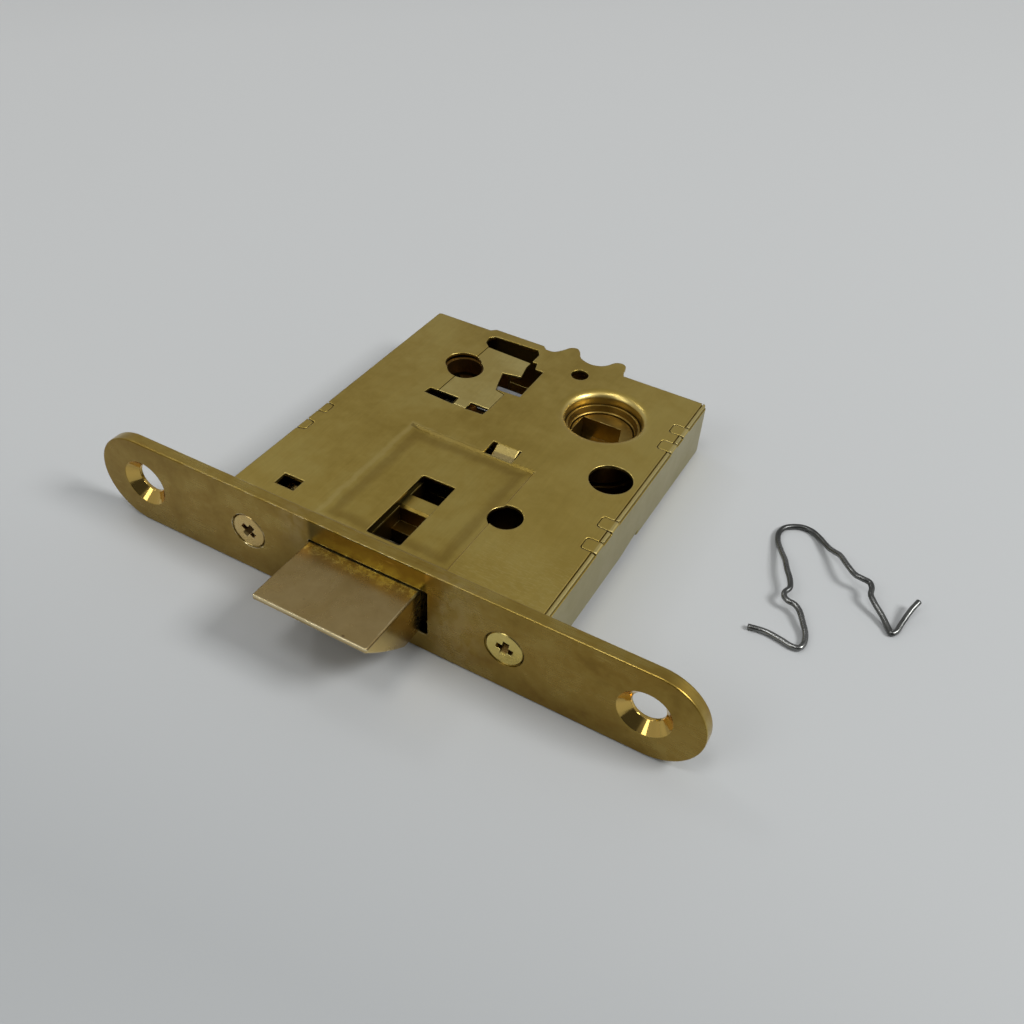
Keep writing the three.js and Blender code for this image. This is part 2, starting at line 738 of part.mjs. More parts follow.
// Cover
{
  const reach = roundedRect(
    caseX0 + coverEdge, caseX1 - coverEdge, caseY0 + pressGap, caseY1 - pressGap, coverCorner,
  );
  let cover = slab(reach, coverUnder, top, 5);
  const bulgeShape = outline([
    [bulge.x0, caseY1 - 1], [bulge.x0, caseY1], [bulge.x0 + bulge.depth, caseY1 + bulge.depth],
    [bulge.x1 - bulge.depth, caseY1 + bulge.depth], [bulge.x1, caseY1], [bulge.x1, caseY1 - 1],
  ]);
  const hornCurve = new THREE.SplineCurve(hornLine.map(([x, y]) => new THREE.Vector2(x, caseY1 + y)));
  const hornPoints = hornCurve.getPoints(hornSteps * (hornLine.length - 1));
  const [firstHorn, lastHorn] = [hornLine[0], hornLine[hornLine.length - 1]];
  const ends = [lastHorn, firstHorn].map(([x]) => new THREE.Vector2(x, caseY1 - hornRoot));
  const hornShape = new THREE.Shape([...hornPoints, ...ends]);
  cover = join(cover, slab(bulgeShape, coverUnder, top), slab(hornShape, coverUnder, top));

  // Pressed panel: the outer face sinks and the inner face stands out by as much
  const { left, right, front, rear } = panelBevels;
  const sunk = { x0: panel.x0 + left, x1: panel.x1 - right, y0: panel.y0 + front, y1: panel.y1 - rear };
  const above = { x0: panel.x0 - left, x1: panel.x1 + right, y0: panel.y0 - front, y1: panel.y1 + rear };
  cover = join(cover, frustum(grown(sunk, coverSheet / 4), panelUnder, panel, coverUnder + 0.05));
  cover = cut(cover, frustum(sunk, top - panelDepth, above, top + panelDepth));

  // Flared mouth round the follower
  const lip = hubTop - mouthLip;
  const collar = mouthBore + mouthWall;
  const shoulder = coverUnder - mouthShoulder;
  const root = collar + mouthFillet;
  cover = join(cover, turned([
    [0, lip], [collar, lip], [collar, shoulder], [root, coverUnder], [root, top - 0.2], [0, top - 0.2],
  ], hubX, hubY, mouthSegments));
  const flare = [];
  for (let i = 0; i <= mouthFlareSteps; i += 1) {
    const angle = (i / mouthFlareSteps) * (Math.PI / 2);
    const radius = mouthBore + (mouthRadius - mouthBore) * (1 - Math.cos(angle));
    flare.push([radius, THREE.MathUtils.lerp(shoulder, top, Math.sin(angle))]);
  }
  cover = cut(cover, turned([
    [0, lip - 1], [mouthBore, lip - 1], ...flare, [mouthRadius, top + 1], [0, top + 1],
  ], hubX, hubY, mouthSegments));

  // Window, holes and slots
  const frame = windowOpening;
  const through = [panelUnder - 1, top + 1];
  cover = cut(cover, slab(roundedRect(frame.x0, frame.x1, frame.y0, frame.y1, windowCorner), ...through, 3));
  for (const [x, y, radius] of [bigBoltHole, smallBoltHole, rivetHole]) {
    cover = cut(cover, drum(x, y, radius, ...through));
  }
  cover = cut(cover, ...camHoles.map(([x, y]) => drum(x, y, camHoleRadius, ...through)));
  cover = cut(cover, boxOf(peepHole, ...through));
  for (const line of [insetLine, cornerOpening, ...frontSlots, lipSlot]) {
    cover = cut(cover, slab(outline(line), ...through));
  }

  // Lanced tab: hinged at the rear, dipping to the front
  cover = cut(cover, boxOf(lance, ...through));
  const tabFront = lance.y0 + lanceGaps.front;
  const tab = slabAlongX(outline([
    [lance.y1 + lanceRoot, top], [lance.y1, top], [tabFront, top - lanceDrop],
    [tabFront, top - lanceDrop - coverSheet], [lance.y1 + lanceRoot, coverUnder],
  ]), lance.x0 + lanceGaps.left, lance.x1 - lanceGaps.right, 0);
  cover = join(cover, tab);

  // Scored line along the right wall, and room for the clinch tabs
  const wallFace = caseX1 - traySheet;
  const [scoreX0, scoreX1] = [wallFace - scoreWidth / 2, wallFace + scoreWidth / 2];
  cover = cut(cover, block(scoreX0, scoreX1, caseY0 - 1, caseY1 + 1, top - scoreDepth, top + 1));
  cover = cut(cover, ...clinchPlaces().map(clinchRoom));
  const rivetRoom = retainerRivetRadius + pressGap;
  cover = cut(cover, drum(retainerRivetX, retainerRivetY, rivetRoom, coverUnder - 1, top - 0.3, 24));
  part("cover_plate", cover, palette.caseBrass);
}

// Plate let into the cover, on two legs
{
  const plateTop = top - insetDrop;
  const geometry = new THREE.ExtrudeGeometry(outline(insetLine), {
    depth: plateTop - coverUnder - 2 * insetBevel,
    bevelThickness: insetBevel,
    bevelSize: insetBevel,
    bevelOffset: -insetBevel - seam,
    bevelSegments: 1,
  });
  const plate = solid(geometry.translate(0, 0, coverUnder + insetBevel));
  const legTop = coverUnder + insetBevel + insetLegRoot;
  const legs = [
    block(frontLeg.x0, frontLeg.x1, frontLeg.y, frontLeg.y + insetLegDepth, floor, legTop),
    block(rearLeg.x0, rearLeg.x1, rearLeg.y - insetLegDepth, rearLeg.y, floor, legTop),
  ];
  const holes = camHoles.map(([x, y]) => drum(x, y, camHoleRadius, coverUnder - 1, top + 1));
  part("inset_plate", cut(join(plate, ...legs), ...holes), palette.yellowBrass);
}

// Collar under the cover round the privacy hole
part("privacy_collar", turned([
  [collarBore, collarFoot], [collarBore + collarWall, collarFoot],
  [collarBore + collarWall, coverUnder - collarChamfer - pressGap],
  [collarBore + collarWall - collarChamfer, coverUnder - pressGap], [collarBore, coverUnder - pressGap],
  [collarBore, collarFoot],
], camX, camY), palette.innerBrass);

// Steel plate under the cover, with its rivet
{
  const under = coverUnder - retainerThickness;
  const shape = roundedRect(retainer.x0, retainer.x1, retainer.y0, retainer.y1, retainerCorner);
  const room = retainerRivetRadius + pressGap;
  const hole = drum(retainerRivetX, retainerRivetY, room, under - 1, coverUnder + 1, 24);
  const plate = bevelledSlab(shape, under, coverUnder, retainerBevel, 3);
  part("steel_retainer", cut(plate, hole), palette.steel);
  const head = retainerRivetRadius + rivetHeadGrow;
  part("retainer_rivet", turned([
    [0, under - rivetHeadHeight], [head - rivetHeadRound, under - rivetHeadHeight],
    [head, under - rivetHeadRound], [head, under], [retainerRivetRadius, under],
    [retainerRivetRadius, top - rivetSunk], [0, top - rivetSunk],
  ], retainerRivetX, retainerRivetY, 24), palette.innerBrass);
}

// Latch bolt: flat above, its bevel below
{
  const bevel = boltEdgeBreak;
  const knee = bevelRun - boltReach;
  const shape = new THREE.Shape();
  shape.moveTo(-boltReach, boltTop);
  shape.lineTo(-boltReach, boltTop - boltTipThickness);
  const hollow = [(knee - boltReach) / 2 - bevelHollow.y, (boltTop + boltUnder) / 2 - bevelHollow.z];
  shape.quadraticCurveTo(...hollow, knee, boltUnder);
  shape.lineTo(boltRear, boltUnder);
  shape.lineTo(boltRear, boltTop);
  let bolt = slabAlongX(shape, boltX0, boltX1, bevel, 10);
  const slot = [tailFront - pressGap, boltRear + 1, tailUnder - pressGap, tailTop + pressGap];
  bolt = cut(bolt, block(tailLeft - pressGap, tailRight + pressGap, ...slot));
  for (const [x, y] of tailRivets()) {
    bolt = cut(bolt, drum(x, y, tailRivetRadius + pressGap, boltUnder - 1, boltTop + 1, 20));
  }
  part("latch_bolt", bolt, palette.boltBrass);
}

function tailRivets() {
  const middle = (tailLeft + tailRight) / 2;
  const y = (tailFront + boltRear) / 2;
  return [-1, 1].map((side) => [middle + (side * tailRivetSpacing) / 2, y]);
}

// Tail: plate, bars and rail that show in the window, and the hook that the arm draws back
{
  const hookMiddle = hubX - armRadius + (1 - Math.cos(armSwing)) * armRadius * 0.5;
  let tail = block(tailLeft, tailRight, tailFront, tailRear, tailUnder, tailTop);
  tail = join(
    tail,
    boxOf(rail, tailUnder, railTop),
    block(hookMiddle - hookWidth / 2, hookMiddle + hookWidth / 2, hookFront, tailRear, tailUnder, hookTop),
  );
  for (const gap of [frontVoid, rearVoid, springBay]) {
    tail = cut(tail, boxOf(gap, tailUnder - 1, tailTop + 6));
  }
  tail = cut(tail, block(tailLeft - 1, shoulderX, shoulderY, tailRear + 1, tailUnder - 1, tailTop + 1));
  const barShape = outline([
    [bar.y0, tailUnder], [bar.y0, barTop - barChamfer], [bar.y0 + barChamfer, barTop], [bar.y1, barTop],
    [bar.y1, tailUnder],
  ]);
  tail = join(tail, slabAlongX(barShape, bar.x0 - 0.1, bar.x1, 0));
  const springX = (springBay.x0 + springBay.x1) / 2;
  const springZ = (tailTop + tailUnder) / 2;
  const nubEnd = springBay.y0 + nubLength;
  const nub = turnedAlongY([
    [0, springBay.y0 - 0.5], [nubRadius, springBay.y0 - 0.5], [nubRadius, nubEnd - nubTaper],
    [nubTipRadius, nubEnd], [0, nubEnd],
  ], springX, springZ, 16);
  tail = join(tail, nub);
  for (const [x, y] of tailRivets()) {
    tail = cut(tail, drum(x, y, tailRivetRadius + pressGap, tailUnder - 1, tailTop + 1, 20));
  }
  part("bolt_tail", tail, palette.innerBrass);
  tailRivets().forEach(([x, y], index) => {
    const [z0, z1] = [boltUnder + 0.1, boltTop - 0.1];
    const [wall, edge] = [tailRivetRadius, tailRivetRadius - boltEdgeBreak];
    const profile = [[0, z0], [edge, z0], [wall, z0 + boltEdgeBreak], [wall, z1 - boltEdgeBreak], [edge, z1]];
    part(`tail_rivet_${index + 1}`, turned([...profile, [0, z1]], x, y, 20), palette.pinkBrass);
  });

  // Its spring: a wire whose two ends run straight for one diameter
  const y0 = springBay.y0 + springWire / 2 + springSeat;
  const y1 = postFront - springWire / 2 - springSeat;
  const steps = 8 * springTurns;
  const coil = [];
  for (let i = 0; i <= steps; i += 1) {
    const angle = (i / 8) * 2 * Math.PI;
    const x = springX + springCoilRadius * Math.cos(angle);
    const z = springZ + springCoilRadius * Math.sin(angle);
    coil.push(new THREE.Vector3(x, THREE.MathUtils.lerp(y0, y1, i / steps), z));
  }
  part("bolt_spring", wireThrough(coil, springWire, 5), palette.steel);
  printLeastGap("bolt_spring", coil, springWire);
  const half = postWidth / 2;
  const post = roundedRect(springX - half, springX + half, postFront, postFront + postDepth, 0.4);
  part("spring_post", slab(post, floor, postTop, 3), palette.innerBrass);
}

// A round wire through the points, with a straight piece of one diameter before the first and after the last.
function wireThrough(points, diameter, sides) {
  const beyond = (end, inner) => end.clone().sub(inner).setLength(diameter).add(end);
  const count = points.length;
  const before = beyond(points[0], points[1]);
  const after = beyond(points[count - 1], points[count - 2]);
  return sweep([before, ...points, after], diameter, sides);
}

// A tube whose rings stand on the points themselves.
function sweep(points, diameter, sides) {
  const curve = new THREE.Curve();
  const last = points.length - 1;
  const spline = new THREE.CatmullRomCurve3(points, false, "centripetal");
  curve.getPoint = (t, target = new THREE.Vector3()) => target.copy(points[Math.round(t * last)]);
  curve.getPointAt = curve.getPoint;
  curve.getTangent = (t, target = new THREE.Vector3()) => spline.getTangent(t, target);
  curve.getTangentAt = curve.getTangent;
  return wire(curve, diameter, last, sides);
}

// Rails beside the bolt
{
  const height = panelUnder - running;
  const left = boltX0 - slack;
  const right = boltX1 + slack;
  const start = caseY0 + traySheet;
  const [outerLeft, outerRight] = [left - leftGuide.width, right + rightGuide.width];
  part("bolt_guide_left", guide(outerLeft, left, start, leftGuide.end, height), palette.innerBrass);
  part("bolt_guide_right", guide(right, outerRight, start, rightGuide.end, height), palette.innerBrass);
}

// An upright rail with its rear end rounded.
function guide(x0, x1, y0, y1, z1) {
  const shape = new THREE.Shape();
  shape.moveTo(x0, y0);
  shape.lineTo(x1, y0);
  shape.lineTo(x1, y1 - guideCorner);
  shape.absarc(x1 - guideCorner, y1 - guideCorner, guideCorner, 0, Math.PI / 2);
  shape.absarc(x0 + guideCorner, y1 - guideCorner, guideCorner, Math.PI / 2, Math.PI);
  return slab(shape, floor, z1, 4);
}

// Follower hub, its drive disc and its lower bearing
{
  const arm = outline(armOutline());
  const z0 = hubFlangeTop - armThickness;
  const lead = hubBoreLead;
  const leadFoot = hubTop - lead.height;
  let hub = turned([
    [0, hubUnder], [hubJournal - hubChamfer, hubUnder], [hubJournal, hubUnder + hubChamfer],
    [hubJournal, hubFlangeUnder], [hubRadius, hubFlangeUnder], [hubRadius, hubFlangeTop],
    [hubJournal, hubFlangeTop], [hubJournal, hubTop - hubChamfer], [hubJournal - hubChamfer, hubTop],
    [hubBore + lead.wide, hubTop], [hubBore + lead.waist, leadFoot], [hubBore, leadFoot - lead.step],
    [hubBore, hubBoreFloor], [0, hubBoreFloor],
  ], hubX, hubY, 40);
  const lugRoot = hubRadius - 1.5;
  const lug = new THREE.BoxGeometry(stopRadius - lugRoot, stopWidth, armThickness);
  lug.translate((stopRadius + lugRoot) / 2, 0, z0 + armThickness / 2);
  lug.rotateZ(THREE.MathUtils.degToRad(stopAngle));
  const rootCut = drum(hubX, hubY, hubJournal - 0.3, z0 - 1, hubFlangeTop + 1);
  hub = join(hub, cut(slab(arm, z0, hubFlangeTop, 8), rootCut));
  hub = join(hub, solid(lug.translate(hubX, hubY, 0)));
  const slot = [hubX + discSlot.x0, hubX + discSlot.x1, hubY - discSlot.y, hubY + discSlot.y];
  hub = cut(hub, block(...slot, hubUnder - 1, hubBoreFloor + 1));
  part("follower_hub", hub, palette.innerBrass);

  const rim = hubBore - discGap;
  let disc = turned([
    [0, hubBoreFloor], [rim, hubBoreFloor], [rim, discTop - discChamfer], [rim - discChamfer, discTop],
    [0, discTop],
  ], hubX, hubY, 40);
  const pocketLine = outline(discPocketLine.map(([x, y]) => [hubX + x, hubY + y]));
  const pocket = slab(pocketLine, discPocketFloor, discTop + 1);
  disc = cut(disc, pocket, block(...slot, hubBoreFloor - 1, discTop + 1));
  part("drive_disc", disc, palette.innerBrass);
  part("hub_bush", bush(hubX, hubY, mouthBore), palette.innerBrass);
}

// The follower's arm in plan, from the hub to its round tip.
function armOutline() {
  const direction = Math.PI + armSwing;
  const points = [[hubJournal - 1, -armRootWidth / 2], [armNeckRadius, -armNeckWidth / 2]];
  const spread = Math.PI - Math.asin(armNeckWidth / 2 / armTipRadius);
  const steps = 14;
  for (let i = 0; i <= steps; i += 1) {
    const angle = -spread + (2 * i * spread) / steps;
    points.push([armRadius + armTipRadius * Math.cos(angle), armTipRadius * Math.sin(angle)]);
  }
  points.push([armNeckRadius, armNeckWidth / 2], [hubJournal - 1, armRootWidth / 2]);
  return points.map(([u, v]) => [
    hubX + u * Math.cos(direction) - v * Math.sin(direction),
    hubY + u * Math.sin(direction) + v * Math.cos(direction),
  ]);
}

// A flanged ring pressed into the base.
function bush(x, y, bore) {
  const wall = bore + bushWall;
  const flange = wall + bushFlange;
  const height = floor + bushFlangeHeight;
  return turned([
    [bore, bottom + 0.1], [wall, bottom + 0.1], [wall, floor], [flange, floor],
    [flange, height - bushChamfer], [flange - bushChamfer, height], [bore, height], [bore, bottom + 0.1],
  ], x, y);
}

// Torsion spring that returns the follower, on its peg
{
  const coil = [];
  const steps = Math.round(8 * returnTurns);
  for (let i = 0; i <= steps; i += 1) {
    const angle = (i / 8) * 2 * Math.PI;
    coil.push(new THREE.Vector3(
      pegX + returnCoilRadius * Math.cos(angle),
      pegY + returnCoilRadius * Math.sin(angle),
      returnBase + (i / 8) * returnPitch,
    ));
  }
  const first = coil[0];
  const last = coil[coil.length - 1];
  const legs = [returnFrontLeg, returnLegStart].map((y) => new THREE.Vector3(first.x, first.y - y, first.z));
  const reach = [];
  for (let i = 0; i < returnReachSteps; i += 1) {
    const x = THREE.MathUtils.lerp(returnLegStart, returnReach, i / (returnReachSteps - 1));
    reach.push(new THREE.Vector3(last.x - x, last.y, last.z));
  }
  const line = [...legs, ...coil, ...reach];
  part("return_spring", sweep(line, returnWire, 5), palette.steel);
  printLeastGap("return_spring", line, returnWire);
  const head = pegRadius + pegHead;
  const neck = pegTop - 2 * pegNeck;
  const shoulder = returnBase - returnWire / 2 - pegNeck / 2;
  part("spring_peg", turned([
    [0, floor], [head, floor], [head, shoulder], [pegRadius, shoulder], [pegRadius, neck - pegNeck / 3],
    [head, neck + pegNeck * 2 / 3], [head, pegTop], [0, pegTop],
  ], pegX, pegY, 24), palette.innerBrass);
}

// Privacy cam, its bearing, the slide that its peg drives and the pin that guides the slide
{
  let cam = turned([
    [0, camUnder], [camRadius, camUnder], [camRadius, camFlangeUnder], [camFlangeRadius, camFlangeUnder],
    [camFlangeRadius, camFlangeTop], [camRadius, camFlangeTop], [camRadius, camTop - camChamfer],
    [camRadius - camChamfer, camTop], [0, camTop],
  ], camX, camY);
  const angle = -Math.PI / 2 + camStart;
  const pegAt = [camX + camPegReach * Math.cos(angle), camY + camPegReach * Math.sin(angle)];
  cam = join(cam, drum(...pegAt, camPegRadius, camFlangeUnder, camPegTop, 16));
  const slot = new THREE.BoxGeometry(2 * camRadius + 1, camSlotWidth, 2 * camSlotDepth).rotateZ(camStart);
  cam = cut(cam, solid(slot.translate(camX, camY, camTop)));
  part("privacy_cam", cam, palette.yellowBrass);
  part("privacy_bush", bush(camX, camY, camRadius + running), palette.innerBrass);

  const forkX = pegAt[0];
  const forkHalf = camPegRadius + running;
  const forkFront = camY - camPegReach - camPegRadius - running;
  const travel = 2 * camPegReach * Math.sin(THREE.MathUtils.degToRad(camHalfTurn));
  const slotX1 = slidePinX + slidePinRadius + running;
  const slotX0 = slotX1 - travel - 2 * (slidePinRadius + running);
  const plate = roundedRect(slotX0 - slideEnd, slide.x1, slide.y0, slide.y1, slideCorner);
  let bar = slab(plate, slideUnder, slideTop, 3);
  const nose = { x0: slide.x1 - 0.6, x1: slide.x1 + noseLength, y0: slide.y1 - noseWidth, y1: slide.y1 };
  const fork = { x0: forkX - forkHalf, x1: forkX + forkHalf, y0: forkFront, y1: slide.y1 + 1 };
  bar = cut(join(bar, boxOf(nose, slideUnder, slideTop)), boxOf(fork, slideUnder - 1, slideTop + 1));
  const half = slidePinRadius + running;
  bar = cut(bar, slab(
    roundedRect(slotX0, slotX1, slidePinY - half, slidePinY + half, half), slideUnder - 1, slideTop + 1, 6,
  ));
  part("locking_slide", bar, palette.zinc);
  const collar = slideUnder - slidePinPlay;
  const cap = slideTop + slidePinPlay;
  part("slide_guide_pin", turned([
    [0, floor], [slidePinFoot, floor], [slidePinFoot, collar], [slidePinRadius, collar],
    [slidePinRadius, cap], [slidePinHead, cap], [slidePinHead, cap + slidePinCap * 0.6],
    [slidePinHead - slidePinCap * 0.4, cap + slidePinCap], [0, cap + slidePinCap],
  ], slidePinX, slidePinY, 20), palette.innerBrass);
}

// Wire clip: its points lie in a plane that touches the faceplate's lower edge and the case's rear edge
{
  const rise = bottom + faceWidth / 2;
  const slope = Math.atan2(rise, caseDepth);
  const points = clipPath.map(([x, along, lift]) => {
    const height = lift + clipWire / 2;
    return new THREE.Vector3(
      x,
      faceThickness + along * Math.cos(slope) - height * Math.sin(slope),
      -faceWidth / 2 + along * Math.sin(slope) + height * Math.cos(slope),
    );
  });
  const spline = new THREE.CatmullRomCurve3(points, false, "centripetal");
  part("wire_clip", wire(spline, clipWire, clipSteps * points.length, clipSides), palette.steel);
  printLeastGap("wire_clip", points, clipWire);
}

// The set's own origin: the middle of its footprint, at its lowest point
const whole = new THREE.Box3().setFromObject(lock);
const middle = whole.getCenter(new THREE.Vector3());
for (const mesh of lock.children) mesh.geometry.translate(-middle.x, -middle.y, -whole.min.z);

export default lock;
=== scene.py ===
"""A brass mortice latch and its loose wire clip on a plain pale table."""
import math

import bpy
from mathutils import Matrix, Vector

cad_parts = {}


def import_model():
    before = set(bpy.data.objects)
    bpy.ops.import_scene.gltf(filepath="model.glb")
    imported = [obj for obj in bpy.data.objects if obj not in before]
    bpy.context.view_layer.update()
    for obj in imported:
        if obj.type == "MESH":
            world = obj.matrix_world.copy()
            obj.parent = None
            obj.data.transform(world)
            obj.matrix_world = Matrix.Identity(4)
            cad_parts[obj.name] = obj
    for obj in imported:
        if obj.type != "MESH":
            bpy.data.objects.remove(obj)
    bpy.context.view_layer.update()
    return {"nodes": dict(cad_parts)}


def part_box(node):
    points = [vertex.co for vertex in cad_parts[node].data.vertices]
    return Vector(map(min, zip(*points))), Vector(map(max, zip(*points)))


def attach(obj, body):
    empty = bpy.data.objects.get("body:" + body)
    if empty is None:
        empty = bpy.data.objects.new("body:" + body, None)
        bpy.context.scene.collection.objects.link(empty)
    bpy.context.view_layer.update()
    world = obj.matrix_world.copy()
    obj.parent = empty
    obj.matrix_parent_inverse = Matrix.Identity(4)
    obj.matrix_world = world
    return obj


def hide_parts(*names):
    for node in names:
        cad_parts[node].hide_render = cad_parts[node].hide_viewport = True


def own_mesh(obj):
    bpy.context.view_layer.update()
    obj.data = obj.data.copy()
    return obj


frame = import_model()
NODES = frame["nodes"]

MM = 0.001
# The latch's own axes: X along the faceplate, Y from its front face, Z from the middle of its thickness.
# X counts from a point a little to the right of the faceplate's middle.
FACE_SHIFT = -0.35
face_low, face_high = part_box("faceplate")
face_middle = (face_low + face_high) / 2
LATCH = Vector((face_middle.x - FACE_SHIFT * MM, face_low.y, face_middle.z))

# Camera, solved from the photograph in the latch's axes
FOCAL_PIXELS = 1035.479
PICTURE_PIXELS = 1024
AZIMUTH, ELEVATION, ROLL = 26.5932, 41.2078, 4.0987
DISTANCE = 205.3546 * MM
TARGET = Vector((11.1265, 32.0825, 0)) * MM

# Table: touches the faceplate's lower edge and the case's lower rear edge
TABLE_RISE = 3.7 / 77


def srgb(red, green, blue):
    """A colour written as on screen, in linear light."""
    def linear(value):
        value /= 255
        return value / 12.92 if value <= 0.04045 else ((value + 0.055) / 1.055) ** 2.4
    return (linear(red), linear(green), linear(blue), 1)


# ---- nodes of a material -------------------------------------------------------------------------

class Graph:
    """A node tree with short calls for the nodes that the materials use."""

    def __init__(self, tree):
        self.tree = tree
        self.tree.nodes.clear()

    def node(self, kind, inputs=None, **settings):
        made = self.tree.nodes.new(kind)
        for name, value in settings.items():
            setattr(made, name, value)
        for name, value in (inputs or {}).items():
            self.put(made.inputs[name], value)
        return made

    def put(self, socket, value):
        if isinstance(value, bpy.types.NodeSocket):
            self.tree.links.new(value, socket)
        else:
            socket.default_value = value

    def math(self, operation, a, b=0.0, clamp=False):
        return self.node("ShaderNodeMath", {0: a, 1: b}, operation=operation, use_clamp=clamp).outputs[0]

    def dot(self, a, b):
        made = self.node("ShaderNodeVectorMath", {0: a, 1: b}, operation="DOT_PRODUCT")
        return made.outputs["Value"]

    def scaled(self, vector, scale, turn=(0, 0, 0)):
        inputs = {"Vector": vector, "Scale": scale, "Rotation": turn}
        return self.node("ShaderNodeMapping", inputs).outputs[0]

    def noise(self, vector, scale, detail=4.0, rough=0.55, distortion=0.0):
        inputs = {"Vector": vector, "Scale": scale, "Detail": detail, "Roughness": rough,
                  "Distortion": distortion}
        return self.node("ShaderNodeTexNoise", inputs).outputs["Fac"]

    def step(self, value, low, high):
        """0 below low, 1 above high, and smooth between them; low may be the larger one."""
        inputs = {"Value": value, "From Min": low, "From Max": high}
        return self.node("ShaderNodeMapRange", inputs, interpolation_type="SMOOTHSTEP").outputs[0]

    def times(self, *values):
        product = values[0]
        for value in values[1:]:
            product = self.math("MULTIPLY", product, value)
        return product

    def ramp(self, factor, *stops):
        """Colour stops as (position, colour); a plain number is a grey."""
        made = self.node("ShaderNodeValToRGB", {"Fac": factor})
        elements = made.color_ramp.elements
        while len(elements) < len(stops):
            elements.new(0.5)
        for element, (position, colour) in zip(elements, stops):
            element.position = position
            element.color = colour if hasattr(colour, "__len__") else (colour, colour, colour, 1)
        return made.outputs["Color"]

    def mix(self, factor, a, b, blend="MIX"):
        made = self.node("ShaderNodeMix", data_type="RGBA", blend_type=blend)
        self.put(made.inputs[0], factor)
        self.put(made.inputs[6], a)
        self.put(made.inputs[7], b)
        return made.outputs[2]

    def latch_axes(self):
        """The place in millimetres in the latch's own axes, as a vector and as X, Y and Z."""
        place = self.node("ShaderNodeTexCoord").outputs["Object"]
        shifted = self.node("ShaderNodeVectorMath", {0: place, 1: LATCH}, operation="SUBTRACT").outputs[0]
        inputs = {0: shifted, 1: (1 / MM,) * 3}
        grown = self.node("ShaderNodeVectorMath", inputs, operation="MULTIPLY").outputs[0]
        return grown, self.node("ShaderNodeSeparateXYZ", {0: grown}).outputs

    def surface(self, **inputs):
        named = {name.replace("_", " "): value for name, value in inputs.items()}
        shader = self.node("ShaderNodeBsdfPrincipled", named)
        self.node("ShaderNodeOutputMaterial", {"Surface": shader.outputs[0]})


def new_material(name):
    made = bpy.data.materials.new(name)
    made.use_nodes = True
    return made, Graph(made.node_tree)


# Millimetres that soiling and painted shade reach out of a corner, and that an edge is rubbed
CORNER_REACH, RUB_REACH = 0.9, 0.3
# Colour of the darkening in corners: dirt and painted shade
CORNER_DIRT_AND_SHADE = (110, 84, 50)
# Each direction of scratches: turn and lines per millimetre
SCRATCHES = ((0.5, (0.12, 5, 1)), (-0.9, (0.1, 4, 1)))
SCRATCH_SHARE = 0.25
LEAST_ROUGHNESS = 0.07


